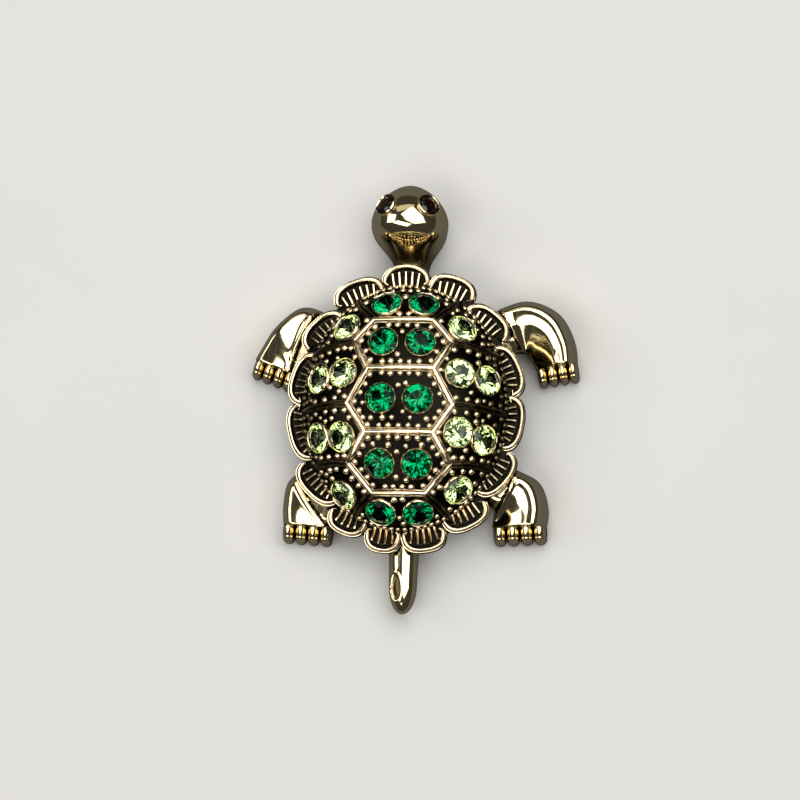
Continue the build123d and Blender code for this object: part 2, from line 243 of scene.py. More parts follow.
# Legs: side, reach and steepness of the panel, then the leg's sections. A section has its
# inner and its outer edge, each as shares of the reach and of the rim's half length, and its
# lowest and highest point as shares of the leg's height.
LEG_HEIGHT = 5.2
LEGS = {
    "right_front": (1, 16.9, 0.8, [
        (0.473, 0.330, 0.390, 0.610, 0.42, 0.90),
        (0.627, 0.412, 0.568, 0.737, 0.28, 0.95),
        (0.686, 0.420, 0.722, 0.777, 0.15, 0.98),
        (0.722, 0.385, 0.888, 0.690, 0.08, 1.00),
        (0.740, 0.338, 0.979, 0.507, 0.01, 0.965),
        (0.754, 0.300, 1.000, 0.325, 0.00, 0.925),
    ]),
    "left_front": (-1, 16.2, 0.36, [
        (0.494, 0.264, 0.407, 0.581, 0.42, 0.90),
        (0.642, 0.311, 0.568, 0.690, 0.28, 0.95),
        (0.679, 0.318, 0.698, 0.713, 0.15, 0.98),
        (0.698, 0.304, 0.846, 0.581, 0.08, 1.00),
        (0.707, 0.284, 0.930, 0.440, 0.01, 0.965),
        (0.716, 0.240, 0.985, 0.335, 0.00, 0.93),
    ]),
    "right_rear": (1, 14.3, 0.75, [
        (0.448, -0.608, 0.629, -0.311, 0.42, 0.90),
        (0.594, -0.649, 0.783, -0.385, 0.28, 0.95),
        (0.629, -0.682, 0.937, -0.466, 0.15, 0.96),
        (0.622, -0.730, 1.000, -0.622, 0.01, 0.93),
        (0.612, -0.785, 0.990, -0.778, 0.00, 0.90),
    ]),
    "left_rear": (-1, 12.5, 0.34, [
        (0.440, -0.622, 0.672, -0.324, 0.42, 0.90),
        (0.608, -0.669, 0.832, -0.412, 0.28, 0.95),
        (0.600, -0.709, 0.960, -0.493, 0.15, 0.96),
        (0.592, -0.757, 1.000, -0.649, 0.01, 0.93),
        (0.588, -0.805, 0.992, -0.799, 0.00, 0.90),
    ]),
}
LEG_SECTIONS = 56
LEG_TOP_POINTS = 40
LEG_GAP = 0.12
LEG_UNDER_RIM = 0.1
LEG_END_TONE = 0.3

# Top and underside of a leg's section, as shares of its width and height
LEG_TOP = [
    (0.00, 0.42), (0.02, 0.50), (0.15, 0.61), (0.29, 0.73), (0.42, 0.84), (0.51, 0.91),
    (0.61, 0.96), (0.71, 0.99), (0.80, 0.98), (0.88, 0.89), (0.95, 0.70), (1.00, 0.34),
]
LEG_UNDERSIDE = [(0.985, 0.10), (0.94, 0.0), (0.06, 0.0), (0.015, 0.10)]
LEG_CREST = 0.99
CREST_SHARE = 0.71

# Low roll across a leg beside the rim: height, distance from the rim, half width
ROLL_HEIGHT = 0.20
ROLL_PLACE = 0.55
ROLL_HALF_WIDTH = 0.24
ROLL_FADE = (0.35, 0.75)

# Rounded end of a leg: steps ahead with the share of the section that is left
LEG_END = ((0.10, 0.985), (0.16, 0.94), (0.14, 0.84))

# Toes. The root lies inside the leg, the tip is rounded and the pinch sits behind it. The
# waist is the share of the width that is missing up to its end.
TOE_COUNT = 4
TOE_CORNERS = 24
TOE_ROOT = 0.5
TOE_REACH = 1.80
TOE_TIP = 0.85
TOE_LEVEL = 2.9
TOE_FALL = 0.10
TOE_BLUNTNESS = 2.4
TOE_WAIST = 0.12
TOE_WAIST_END = 0.2
# A toe is darker towards its underside; its tone rises over this range of upward share.
TOE_UNDERSIDE_FADE = (0.1, 0.6)
TOE_PINCH = 0.08
PINCH_PLACE = 0.72
PINCH_HALF_WIDTH = 0.13

# Head with its neck. The range says how far behind the middle of the head the neck starts
# to fall and is down, and the profile gives places along the brooch with the radius there.
HEAD_CENTRE = Vector((-0.3, 19.02, 4.1))
HEAD_RADIUS = 3.88
NECK_LEVEL = 2.35
NECK_RANGE = (0.4, 4.2)
HEAD_CORNERS, HEAD_RINGS = 72, 90
HEAD_PROFILE = [
    (22.90, 0.02), (22.88, 0.35), (22.78, 0.80), (22.55, 1.36), (22.15, 2.03), (21.6, 2.66),
    (21.0, 3.15), (20.3, 3.57), (19.6, 3.81), (19.0, 3.88), (18.3, 3.83), (17.6, 3.64),
    (17.0, 3.30), (16.4, 2.80), (15.8, 2.30), (15.2, 1.93), (14.5, 1.76), (13.5, 1.72),
    (11.5, 1.72),
]
EYE_RADIUS = 1.05
EYE_AIM = Vector((0.57, 0.37, 0.735)).normalized()
EYE_RING = {"clearance": 0.12, "wall": 0.22, "depth": 0.7, "sink": 0.12}

# Tail with a leaf-shaped dimple, which has a turn round the tail and a place along it
TAIL_REACH = 20.4
TAIL_LEVEL = 2.5
TAIL_START = 10.5
TAIL_ROOT = 11.0
TAIL_ROOT_RADIUS = 1.6
TAIL_TAPER = 0.03
TAIL_ROUNDING = 2.8
TAIL_BLUNTNESS = 2.2
DIMPLE_TURN = math.radians(117)
DIMPLE_START = 15.6
DIMPLE_MIDDLE = -17.75
DIMPLE_HALF_WIDTH = 0.62
DIMPLE_HALF_LENGTH = 1.4
DIMPLE_DEPTH = 0.22
DIMPLE_LIP = 0.05
# Share of the tone taken out inside the dimple: painted shade
DIMPLE_PAINTED_SHADE = 0.75

# Camera: its right and up directions, its distance in metres, and in millimetres the point
# that it looks at, the sensor and the width that it sees
CAMERA_RIGHT = Vector((0.9925, 0.0329, -0.1183))
CAMERA_UP = Vector((-0.0138, 0.9871, 0.1589))
CAMERA_DISTANCE = 0.45
CAMERA_TARGET_LEVEL = 5.2
CAMERA_SHIFT = (-0.55, 0.85)
CAMERA_SENSOR = 36.0
CAMERA_WIDTH = 80.0

# Area lights, all at one distance in metres: direction to the right, up and towards the
# camera, size, power and colour
LIGHT_DISTANCE = 0.5
LIGHTS = {
    "key_box": ((0.20, 0.38, 0.90), (0.68, 0.44), 3.0, (1, 0.99, 0.97)),
    "left_box": ((-0.42, -0.25, 0.87), (0.46, 0.22), 1.0, (1, 0.98, 0.95)),
    "side_box": ((-0.84, 0.25, 0.48), (0.28, 0.22), 0.55, (1, 0.98, 0.95)),
    "card": ((-0.2, 0.87, 0.44), (0.40, 0.17), 0.14, (1, 0.95, 0.85)),
}
WORLD_GREY, WORLD_STRENGTH = 0.5, 0.09
FLOOR_REACH = 1.5
FLOOR_IN_MIRROR = (0.10, 0.10, 0.11, 1)

cad_low, cad_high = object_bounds()

# The pairs of stones lie evenly about the shell's middle, and the tail ends a known way
# behind it
SHELL_MIDDLE = np.array([
    (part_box("dark_stone_1_left")[0].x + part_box("dark_stone_1_right")[1].x) / 2,
    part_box("body")[0].y + TAIL_REACH * MM,
    0.0,
])


# Shapes of the dome and the rim


def smoothstep(value, low, high):
    """Smooth rise from 0 at low to 1 at high."""
    share = np.clip((np.asarray(value, float) - low) / (high - low), 0, 1)
    return share * share * (3 - 2 * share)


def unit(vectors):
    vectors = np.asarray(vectors, float)
    return vectors / np.linalg.norm(vectors, axis=-1, keepdims=True)


def signed_power(values, power):
    return np.sign(values) * np.abs(values) ** power


def full_turn(count):
    """Angles once round, evenly spaced."""
    return np.linspace(0, 2 * math.pi, count, endpoint=False)


def oval_point(half_width, half_length, angle):
    return np.array([half_width * math.cos(angle), half_length * math.sin(angle)])


def at_height(plan, height):
    """Points over places in plan, all at one height."""
    return np.column_stack([plan, np.full(len(plan), height)])


def oval_ring(count, half_width, half_length, height):
    turns = full_turn(count)
    plan = np.column_stack([half_width * np.cos(turns), half_length * np.sin(turns)])
    return at_height(plan, height)


def upright_ring(x, y, z, radius, turns):
    """Round ring square to the brooch's length."""
    return np.column_stack([
        x + radius * np.cos(turns), np.full(len(turns), y), z + radius * np.sin(turns),
    ])


def circle_about(normal, angles):
    """Points of a unit circle square to a direction."""
    side = unit(np.cross(normal, [0.0, 1.0, 0.0]))
    other = np.cross(normal, side)
    return np.outer(np.cos(angles), side) + np.outer(np.sin(angles), other)


def on_dome(plan, lift=0.0):
    """Points over places in plan, lifted off the dome along its normals, and the normals."""
    plan = np.asarray(plan, float).reshape(-1, 2)
    share = (plan[:, 0] / DOME_HALF_WIDTH) ** 2 + (plan[:, 1] / DOME_HALF_LENGTH) ** 2
    rise = np.sqrt(np.maximum(1 - share, LEAST_RISE))
    normals = unit(np.column_stack([
        plan[:, 0] / DOME_HALF_WIDTH**2,
        plan[:, 1] / DOME_HALF_LENGTH**2,
        rise / DOME_HEIGHT,
    ]))
    points = np.column_stack([plan, DOME_LEVEL + DOME_HEIGHT * rise])
    return points + normals * np.asarray(lift, float).reshape(-1, 1), normals


def above_dome(points):
    """Height of points above the dome's skin."""
    halves = np.array([DOME_HALF_WIDTH, DOME_HALF_LENGTH, DOME_HEIGHT])
    scaled = (points - np.array([0, 0, DOME_LEVEL])) / halves
    size = np.linalg.norm(scaled, axis=1)
    slope = np.linalg.norm(scaled / halves, axis=1)
    return (size - 1) * size / np.maximum(slope, 1e-6)


def painted_flank_shade(points):
    """Share of brightness left on points: painted shade that darkens the flanks."""
    return 1 - PAINTED_FLANK_SHADE * smoothstep(np.abs(points[:, 0]) / DOME_HALF_WIDTH, *PAINTED_FLANK_RANGE)


def second_spot(first, heading):
    """Place of the second stone of a pair, a fixed distance from the first on the dome."""
    course = oval_point(1, 1, math.radians(heading))
    top, step = on_dome(first)[0][0][2], SIDE_PITCH
    for _ in range(6):
        spot = first + step * course
        step = math.sqrt(SIDE_PITCH**2 - (top - on_dome(spot)[0][0][2]) ** 2)
    return spot


def stone_seats():
    """Name, centre of the girdle and outward direction of each stone."""
    places = [
        (f"dark_stone_{row}_{side}", (sign * PAIR_PITCH / 2, share * DOME_HALF_LENGTH))
        for row, share in enumerate(SPINE_ROWS, start=1)
        for side, sign in SIDES
    ]
    for side, sign in SIDES:
        spots = []
        for across, along, heading in SIDE_CELLS[side]:
            spots.append(np.array([across * DOME_HALF_WIDTH, along * DOME_HALF_LENGTH]))
            if heading is not None:
                spots.append(second_spot(spots[-1], heading))
        for number, spot in enumerate(spots, start=1):
            places.append((f"pale_stone_{number}_{side}", (sign * spot[0], spot[1])))
    seats = []
    for name, place in places:
        point, normal = on_dome(place, GIRDLE_RISE)
        seats.append((name, point[0], normal[0]))
    return seats


def eye_frames():
    """Side, centre of the girdle and outward direction of each eye."""
    reach = math.sqrt(HEAD_RADIUS**2 - EYE_RADIUS**2)
    for side, sign in SIDES:
        aim = Vector((sign * EYE_AIM.x, EYE_AIM.y, EYE_AIM.z))
        yield side, np.array(HEAD_CENTRE + aim * reach), np.array(aim)


def rim_point(angle):
    return oval_point(RIM_HALF_WIDTH, RIM_HALF_LENGTH, angle)


def foot_point(angle):
    return oval_point(
        DOME_HALF_WIDTH * FOOT_SHARE + FOOT_CLEARANCE,
        DOME_HALF_LENGTH * FOOT_SHARE + FOOT_CLEARANCE,
        angle,
    )


def lobe_frame(number):
    """Foot, outward and sideways directions, length and half widths of one lobe."""
    start, end = (math.radians(bound) for bound in LOBE_BOUNDS[number:number + 2])
    middle = (start + end) / 2
    tip, foot = rim_point(middle), foot_point(middle)
    length = np.linalg.norm(tip - foot)
    outward = (tip - foot) / length
    aside = np.array([-outward[1], outward[0]])
    foot_half = np.linalg.norm(foot_point(end) - foot_point(start)) / 2
    tip_half = np.linalg.norm(rim_point(end) - rim_point(start)) / 2
    return foot, outward, aside, length, foot_half - LOBE_GAP / 2, tip_half - LOBE_GAP / 2


def lobe_path(number, inset=0.0, side_count=7, tip_count=34):
    """Outline of one lobe from foot to tip to foot, drawn inside it by inset."""
    foot, outward, aside, length, foot_half, tip_half = lobe_frame(number)
    power = 2 / (HEAD_LOBE_SQUARENESS if number == 0 else LOBE_SQUARENESS)
    turns = np.linspace(0, math.pi, tip_count)
    rounding = LOBE_ROUNDING - inset * LOBE_ROUNDING_LOSS
    shoulder = length - inset - rounding
    shares = np.linspace(0, 1, side_count, endpoint=False)
    first = np.column_stack([
        shares * shoulder, (foot_half - inset) + (tip_half - foot_half) * shares,
    ])
    crest = np.column_stack([
        shoulder + rounding * np.abs(np.sin(turns)) ** power,
        (tip_half - inset) * signed_power(np.cos(turns), power),
    ])
    local = np.vstack([first, crest, first[::-1] * np.array([1, -1])])
    return foot + local[:, :1] * outward + local[:, 1:] * aside


# Meshes and objects


class Casting:
    """Points, faces and tones of a mesh that is being built. Tone runs from 0, black in a
    recess, to 1, bright on a raised edge; in places it also carries painted shade."""

    def __init__(self):
        self.points, self.faces, self.tones, self.slots = [], [], [], []
        self.count = 0

    def add(self, points, faces, tones, slots=None):
        points = np.asarray(points, float).reshape(-1, 3)
        self.points.append(points)
        self.tones.append(np.array(np.broadcast_to(tones, len(points)), float))
        self.faces.extend(tuple(index + self.count for index in face) for face in faces)
        self.slots.extend(slots or [0] * len(faces))
        self.count += len(points)

    def add_rings(self, rings, tones, closed=False):
        """Joins rings of points in order; open rows of rings get a cap at each end."""
        rings = np.asarray(rings, float)
        rows, size = rings.shape[:2]
        tones = np.array(np.broadcast_to(np.asarray(tones, float), (rows, size)))
        faces = []
        for row in range(rows if closed else rows - 1):
            faces.extend(ring_faces(row * size, (row + 1) % rows * size, size))
        if not closed:
            faces.append(tuple(reversed(range(size))))
            faces.append(tuple(range((rows - 1) * size, rows * size)))
        self.add(rings, faces, tones.reshape(-1))

    def add_sweep(self, path, ups, profile, tones):
        """Sweeps a profile of (across, up) points along a path with mitred corners."""
        steps = unit(np.diff(path, axis=0))
        after = np.vstack([steps, steps[-1:]])
        course = unit(np.vstack([steps[:1], steps]) + after)
        mitre = 1 / np.maximum(np.sum(course * after, axis=1), 0.5)
        side = unit(np.cross(course, ups))
        profile = np.asarray(profile, float)
        self.add_rings(
            path[:, None, :]
            + side[:, None, :] * profile[None, :, :1] * mitre[:, None, None]
            + ups[:, None, :] * profile[None, :, 1:],
            np.broadcast_to(tones, (len(path), len(profile))),
        )

    def mesh(self, name):
        """The mesh in metres in the row frame, with its tones and outward faces."""
        mesh = bpy.data.meshes.new(name)
        points = np.vstack(self.points) * MM + SHELL_MIDDLE
        mesh.from_pydata(points.tolist(), [], self.faces)
        mesh.polygons.foreach_set("material_index", self.slots)
        set_tones(mesh, np.concatenate(self.tones))
        work = bmesh.new()
        work.from_mesh(mesh)
        bmesh.ops.recalc_face_normals(work, faces=work.faces)
        work.to_mesh(mesh)
        work.free()
        mesh.update()
        return mesh


def ring_faces(here, there, size):
    """Faces between two rings of points that start at here and there."""
    return [
        (here + index, here + after, there + after, there + index)
        for index, after in ((index, (index + 1) % size) for index in range(size))
    ]


def set_tones(mesh, tones):
    layer = mesh.attributes.get("tone") or mesh.attributes.new("tone", "FLOAT", "POINT")
    layer.data.foreach_set("value", np.asarray(tones, np.float32))


def mesh_points(mesh):
    """Points of a mesh in working coordinates."""
    flat = np.zeros(len(mesh.vertices) * 3, np.float32)
    mesh.vertices.foreach_get("co", flat)
    return (flat.reshape(-1, 3) - SHELL_MIDDLE) / MM


def place_object(name, data):
    item = bpy.data.objects.new(name, data)
    bpy.context.scene.collection.objects.link(item)
    return item


def take_mesh(item):
    """Plain mesh of an object with its modifiers applied; the object itself goes."""
    graph = bpy.context.evaluated_depsgraph_get()
    graph.update()
    mesh = bpy.data.meshes.new_from_object(item.evaluated_get(graph))
    old = item.data
    bpy.data.objects.remove(item)
    bpy.data.meshes.remove(old)
    return mesh


def finish_piece(name, mesh, materials, nodes=(), smooth_angle=38.0):
    """Makes the object, shades it, and ties it to the frame."""
    mesh.name = name
    piece = place_object(name, mesh)
    mesh.materials.clear()
    for material in materials:
        mesh.materials.append(material)
    if smooth_angle:
        mesh.polygons.foreach_set("use_smooth", [True] * len(mesh.polygons))
        mesh.set_sharp_from_angle(angle=math.radians(smooth_angle))
    mesh.update()
    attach(piece, "root")
    if nodes:
        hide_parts(*nodes)


def grow_piece(name, guide, tree, values, material, tone_at, smooth_angle=80.0):
    """Runs a tree on a guide object and finishes what grows; tone_at takes its points."""
    mesh = run_geometry_tree(guide, tree, {**values, "Material": material})
    set_tones(mesh, tone_at(mesh_points(mesh)))
    finish_piece(name, mesh, [material], smooth_angle=smooth_angle)


# Node trees


def set_inputs(tree, node, inputs):
    """Links each input for which a socket is given, and sets the others."""
    for key, value in inputs.items():
        if isinstance(value, bpy.types.NodeSocket):
            tree.links.new(value, node.inputs[key])
        else:
            node.inputs[key].default_value = value


def place_node(tree, kind, inputs=None, **settings):
    """New node with its settings, and with its inputs linked or set."""
    node = tree.nodes.new(kind)
    for key, value in settings.items():
        setattr(node, key, value)
    set_inputs(tree, node, inputs or {})
    return node


def maths(tree, operation, *values, **settings):
    """Output of a maths node."""
    inputs = dict(enumerate(values))
    return place_node(tree, "ShaderNodeMath", inputs, operation=operation, **settings).outputs[0]


def blend(tree, share, first, second):
    """Colour between two colours."""
    inputs = {0: share, 6: first, 7: second}
    return place_node(tree, "ShaderNodeMix", inputs, data_type="RGBA").outputs[2]


def noise(tree, vector, scale, detail=None):
    """Output of a noise node, between 0 and 1."""
    inputs = {"Vector": vector, "Scale": scale}
    if detail is not None:
        inputs["Detail"] = detail
    return place_node(tree, "ShaderNodeTexNoise", inputs).outputs["Fac"]


def new_tree(name, kind, inputs, outputs):
    """Node group with named inputs and outputs."""
    tree = bpy.data.node_groups.new(name, kind)
    for label, sort, value in inputs:
        socket = tree.interface.new_socket(
            label, in_out="INPUT", socket_type="NodeSocket" + sort
        )
        if value is not None:
            socket.default_value = value
    for label, sort in outputs:
        tree.interface.new_socket(label, in_out="OUTPUT", socket_type="NodeSocket" + sort)
    return tree, place_node(tree, "NodeGroupInput"), place_node(tree, "NodeGroupOutput")


def new_geometry_tree(name, inputs):
    """Tree that takes a guide's geometry and a material besides its own inputs."""
    tree, source, sink = new_tree(
        name,
        "GeometryNodeTree",
        [("Geometry", "Geometry", None), *inputs, ("Material", "Material", None)],
        [("Geometry", "Geometry")],
    )
    tree.is_modifier = True
    return tree, source.outputs, sink


def end_geometry_tree(tree, given, sink, geometry):
    """Ends a tree in real, smooth geometry with the material on it."""
    for kind, inputs in (
        ("GeometryNodeRealizeInstances", {}),
        ("GeometryNodeSetShadeSmooth", {}),
        ("GeometryNodeSetMaterial", {"Material": given["Material"]}),
    ):
        node = place_node(tree, kind, {"Geometry": geometry, **inputs})
        geometry = node.outputs["Geometry"]
    set_inputs(tree, sink, {"Geometry": geometry})
    return tree


def run_geometry_tree(guide, tree, values):
    """Runs the tree on a guide object and returns the result as a plain mesh."""
    modifier = guide.modifiers.new(tree.name, "NODES")
    modifier.node_group = tree
    for item in tree.interface.items_tree:
        if item.item_type == "SOCKET" and item.in_out == "INPUT" and item.name in values:
            modifier[item.identifier] = values[item.name]
    return take_mesh(guide)


def guide_points(name, points, facings, sizes):
    """Object of loose points that carry the direction they face and a size."""
    mesh = bpy.data.meshes.new(name)
    mesh.from_pydata((np.asarray(points) * MM + SHELL_MIDDLE).tolist(), [], [])
    facing = mesh.attributes.new("facing", "FLOAT_VECTOR", "POINT")
    facing.data.foreach_set("vector", np.asarray(facings, np.float32).ravel())
    size = mesh.attributes.new("size", "FLOAT", "POINT")
    size.data.foreach_set("value", np.asarray(sizes, np.float32))
    return place_object(name, mesh)


def guide_lines(name, paths):
    """Object of open lines."""
    points, edges = [], []
    for path in paths:
        start = len(points)
        points.extend((np.asarray(path) * MM + SHELL_MIDDLE).tolist())
        edges.extend((start + index, start + index + 1) for index in range(len(path) - 1))
    mesh = bpy.data.meshes.new(name)
    mesh.from_pydata(points, edges, [])
    return place_object(name, mesh)


def point_value(tree, name, kind):
    """Value that the guide's points carry under a name."""
    inputs = {"Name": name}
    node = place_node(tree, "GeometryNodeInputNamedAttribute", inputs, data_type=kind)
    return node.outputs["Attribute"]


def oval_section(tree, count, width, height):
    """Oval profile of a bar or ring."""
    circle = place_node(
        tree,
        "GeometryNodeCurvePrimitiveCircle",
        {"Resolution": count, "Radius": 0.5},
        mode="RADIUS",
    )
    stretch = place_node(tree, "ShaderNodeCombineXYZ", {"X": width, "Y": height, "Z": 1.0})
    return place_node(tree, "GeometryNodeTransform", {
        "Geometry": circle.outputs["Curve"], "Scale": stretch.outputs[0],
    }).outputs["Geometry"]


def spread_copies(tree, given, shape, scale):
    """Copies of a shape at the points, each turned the way that its point faces."""
    facing = {"Vector": point_value(tree, "facing", "FLOAT_VECTOR")}
    turn = place_node(tree, "FunctionNodeAlignRotationToVector", facing, axis="Z")
    return place_node(tree, "GeometryNodeInstanceOnPoints", {
        "Points": given["Geometry"],
        "Instance": shape,
        "Rotation": turn.outputs["Rotation"],
        "Scale": scale,
    }).outputs["Instances"]


def bead_tree():
    """Small round beads at points, each turned to face outwards."""
    tree, given, sink = new_geometry_tree("Milgrain beads", [
        ("Bead Radius", "Float", 0.35 * MM),
        ("Variation", "Float", 0.1),
        ("Seed", "Int", 5),
    ])
    ball = place_node(tree, "GeometryNodeMeshIcoSphere", {
        "Subdivisions": 2, "Radius": given["Bead Radius"],
    })
    vary = place_node(tree, "FunctionNodeRandomValue", {
        2: maths(tree, "SUBTRACT", 1.0, given["Variation"]),
        3: maths(tree, "ADD", 1.0, given["Variation"]),
        "Seed": given["Seed"],
    }, data_type="FLOAT")
    scale = maths(tree, "MULTIPLY", point_value(tree, "size", "FLOAT"), vary.outputs[1])
    copies = spread_copies(tree, given, ball.outputs["Mesh"], scale)
    return end_geometry_tree(tree, given, sink, copies)


def setting_tree():
    """Thin rings with a rounded lip round stones."""
    tree, given, sink = new_geometry_tree("Stone settings", [
        ("Ring Radius", "Float", 1.51 * MM),
        ("Wall", "Float", 0.2 * MM),
        ("Depth", "Float", 0.86 * MM),
    ])
    ring = place_node(
        tree,
        "GeometryNodeCurvePrimitiveCircle",
        {"Resolution": 40, "Radius": given["Ring Radius"]},
        mode="RADIUS",
    )
    sweep = place_node(tree, "GeometryNodeCurveToMesh", {
        "Curve": ring.outputs["Curve"],
        "Profile Curve": oval_section(tree, 12, given["Wall"], given["Depth"]),
    })
    size = point_value(tree, "size", "FLOAT")
    copies = spread_copies(tree, given, sweep.outputs["Mesh"], size)
    return end_geometry_tree(tree, given, sink, copies)


def bar_tree():
    """Rounded bars along lines."""
    tree, given, sink = new_geometry_tree("Rim ribs", [
        ("Width", "Float", 0.4 * MM),
        ("Height", "Float", 0.84 * MM),
    ])
    curve = place_node(tree, "GeometryNodeMeshToCurve", {"Mesh": given["Geometry"]})
    upright = place_node(
        tree, "GeometryNodeSetCurveNormal", {"Curve": curve.outputs["Curve"]}, mode="Z_UP"
    )
    sweep = place_node(tree, "GeometryNodeCurveToMesh", {
        "Curve": upright.outputs["Curve"],
        "Profile Curve": oval_section(tree, 10, given["Width"], given["Height"]),
        "Fill Caps": True,
    })
    return end_geometry_tree(tree, given, sink, sweep.outputs["Mesh"])


# Finishes


def patina_group():
    """Black oxide left in the recesses and rubbed off the raised parts, from the tone. Where the
    tone carries painted shade, the same colours paint that shade.
    """
    name = "Rubbed patina"
    if name in bpy.data.node_groups:
        return bpy.data.node_groups[name]
    tree, source, sink = new_tree(name, "ShaderNodeTree", [
        ("Vector", "Vector", None),
        ("Tone", "Float", 0.5),
        ("Scale", "Float", 1500.0),
        ("Unevenness", "Float", 0.5),
        ("Black", "Color", (0.02, 0.015, 0.01, 1)),
        ("Brown", "Color", (0.2, 0.15, 0.07, 1)),
        ("Gold", "Color", (0.8, 0.6, 0.3, 1)),
    ], [("Color", "Color"), ("Brightness", "Float")])
    given = source.outputs
    blotches = noise(tree, given["Vector"], given["Scale"], 3.0)
    centred = maths(tree, "SUBTRACT", blotches, 0.5)
    shift = maths(tree, "MULTIPLY_ADD", centred, given["Unevenness"], given["Tone"])
    brown_share, gold_share = (
        place_node(
            tree,
            "ShaderNodeMapRange",
            {"Value": shift, "From Min": low, "From Max": high},
            interpolation_type="SMOOTHSTEP",
        ).outputs["Result"]
        for low, high in ((0.08, 0.5), (0.45, 0.9))
    )
    oxide = blend(tree, brown_share, given["Black"], given["Brown"])
    set_inputs(tree, sink, {
        "Color": blend(tree, gold_share, oxide, given["Gold"]), "Brightness": gold_share,
    })
    return tree


def handling_group():
    """Fine scratches and soft waves of a hand-polished casting."""
    name = "Polishing marks"
    if name in bpy.data.node_groups:
        return bpy.data.node_groups[name]
    tree, source, sink = new_tree(name, "ShaderNodeTree", [
        ("Vector", "Vector", None),
        ("Wave Scale", "Float", 260.0),
        ("Scratch Scale", "Float", 2500.0),
        ("Wave", "Float", 1.0),
        ("Scratch", "Float", 0.2),
        ("Lowest Roughness", "Float", 0.05),
        ("Highest Roughness", "Float", 0.15),
    ], [("Height", "Float"), ("Roughness", "Float")])
    given = source.outputs
    waves = noise(tree, given["Vector"], given["Wave Scale"], 1.0)
    stretch = place_node(tree, "ShaderNodeMapping", {
        "Vector": given["Vector"],
        "Rotation": (0.3, 0.2, 0.7),
        "Scale": (1.0, 0.12, 1.0),
    })
    scratches = noise(tree, stretch.outputs[0], given["Scratch Scale"], 4.0)
    wave_part = maths(tree, "MULTIPLY", waves, given["Wave"])
    gloss = place_node(tree, "ShaderNodeMapRange", {
        "Value": scratches,
        "From Min": 0.35,
        "From Max": 0.7,
        "To Min": given["Lowest Roughness"],
        "To Max": given["Highest Roughness"],
    })
    set_inputs(tree, sink, {
        "Height": maths(tree, "MULTIPLY_ADD", scratches, given["Scratch"], wave_part),
        "Roughness": gloss.outputs["Result"],
    })
    return tree


def new_material(name):
    material = bpy.data.materials.new(name)
    material.use_nodes = True
    tree = material.node_tree
    place = place_node(tree, "ShaderNodeTexCoord").outputs["Object"]
    return material, tree, tree.nodes["Principled BSDF"], place


def gold_material(name, gold, brown, black, unevenness, roughness, dullness, bump, wave):
    """Gold plate with patina where the tone is low, and painted shade where the tone carries it.
    The roughness has a lowest and a highest value, and the dullness is added where the metal
    is black."""
    if name in bpy.data.materials:
        return bpy.data.materials[name]
    material, tree, shader, place = new_material(name)
    tone = place_node(tree, "ShaderNodeAttribute", attribute_name="tone")
    patina = place_node(tree, "ShaderNodeGroup", {
        "Vector": place,
        "Tone": tone.outputs["Fac"],
        "Unevenness": unevenness,
        "Black": (*black, 1),
        "Brown": (*brown, 1),
        "Gold": (*gold, 1),
    }, node_tree=patina_group()).outputs
    marks = place_node(tree, "ShaderNodeGroup", {
        "Vector": place,
        "Wave": wave,
        "Lowest Roughness": roughness[0],
        "Highest Roughness": roughness[1],
    }, node_tree=handling_group()).outputs
    dull = maths(tree, "MULTIPLY_ADD", patina["Brightness"], -dullness, dullness)
    relief = place_node(tree, "ShaderNodeBump", {
        "Strength": bump, "Distance": 0.05 * MM, "Height": marks["Height"],
    })
    set_inputs(tree, shader, {
        "Metallic": 1.0,
        "Base Color": patina["Color"],
        "Roughness": maths(tree, "ADD", dull, marks["Roughness"], use_clamp=True),
        "Normal": relief.outputs["Normal"],
    })
    return material


def aged_gold():
    return gold_material(
        "blackened gold plate", bpy.context.scene.brooch_finish.aged_gold,
        brown=(0.13, 0.10, 0.05), black=(0.008, 0.007, 0.005), unevenness=0.5,
        roughness=(0.07, 0.20), dullness=0.18, bump=0.6, wave=1.2,
    )


def polished_gold():
    return gold_material(
        "polished gold plate", bpy.context.scene.brooch_finish.polished_gold,
        brown=(0.22, 0.16, 0.07), black=(0.03, 0.025, 0.015), unevenness=0.12,
        roughness=(0.06, 0.13), dullness=0.2, bump=0.26, wave=1.0,
    )


def pin_gold():
    return gold_material(
        "satin gold plate", (0.70, 0.56, 0.30),
        brown=(0.3, 0.23, 0.12), black=(0.05, 0.04, 0.03), unevenness=0.3,
        roughness=(0.18, 0.34), dullness=0.1, bump=0.4, wave=0.4,
    )


def glass_material(name, colour, ior, gloss=1.0):
    """Clear coloured glass, with a faint unevenness in its gloss."""
    material, tree, shader, place = new_material(name)
    shade = place_node(tree, "ShaderNodeMapRange", {
        "Value": noise(tree, place, 900.0), "To Min": 0.0, "To Max": 0.02,
    })
    set_inputs(tree, shader, {
        "Base Color": (*colour, 1),
        "Roughness": shade.outputs["Result"],
        "Transmission Weight": 1.0,
        "IOR": ior,
        "Specular Tint": (gloss, gloss, gloss, 1),
    })
    return material


def foil_material(name, colour, roughness):
    """Mirror foil on the back of a stone, a little uneven."""
    material, tree, shader, place = new_material(name)
    dimmer = tuple(channel * 0.8 for channel in colour)
    set_inputs(tree, shader, {
        "Base Color": blend(tree, noise(tree, place, 1400.0), (*dimmer, 1), (*colour, 1)),
        "Metallic": 1.0,
        "Roughness": roughness,
    })
    return material


# Settings that a user may change


def size_setting(name, description, millimetres):
    return bpy.props.FloatProperty(
        name=name, description=description, default=millimetres * MM, unit="LENGTH"
    )


def colour_setting(name, description, default):
    return bpy.props.FloatVectorProperty(
        name=name, description=description, subtype="COLOR", default=default
    )


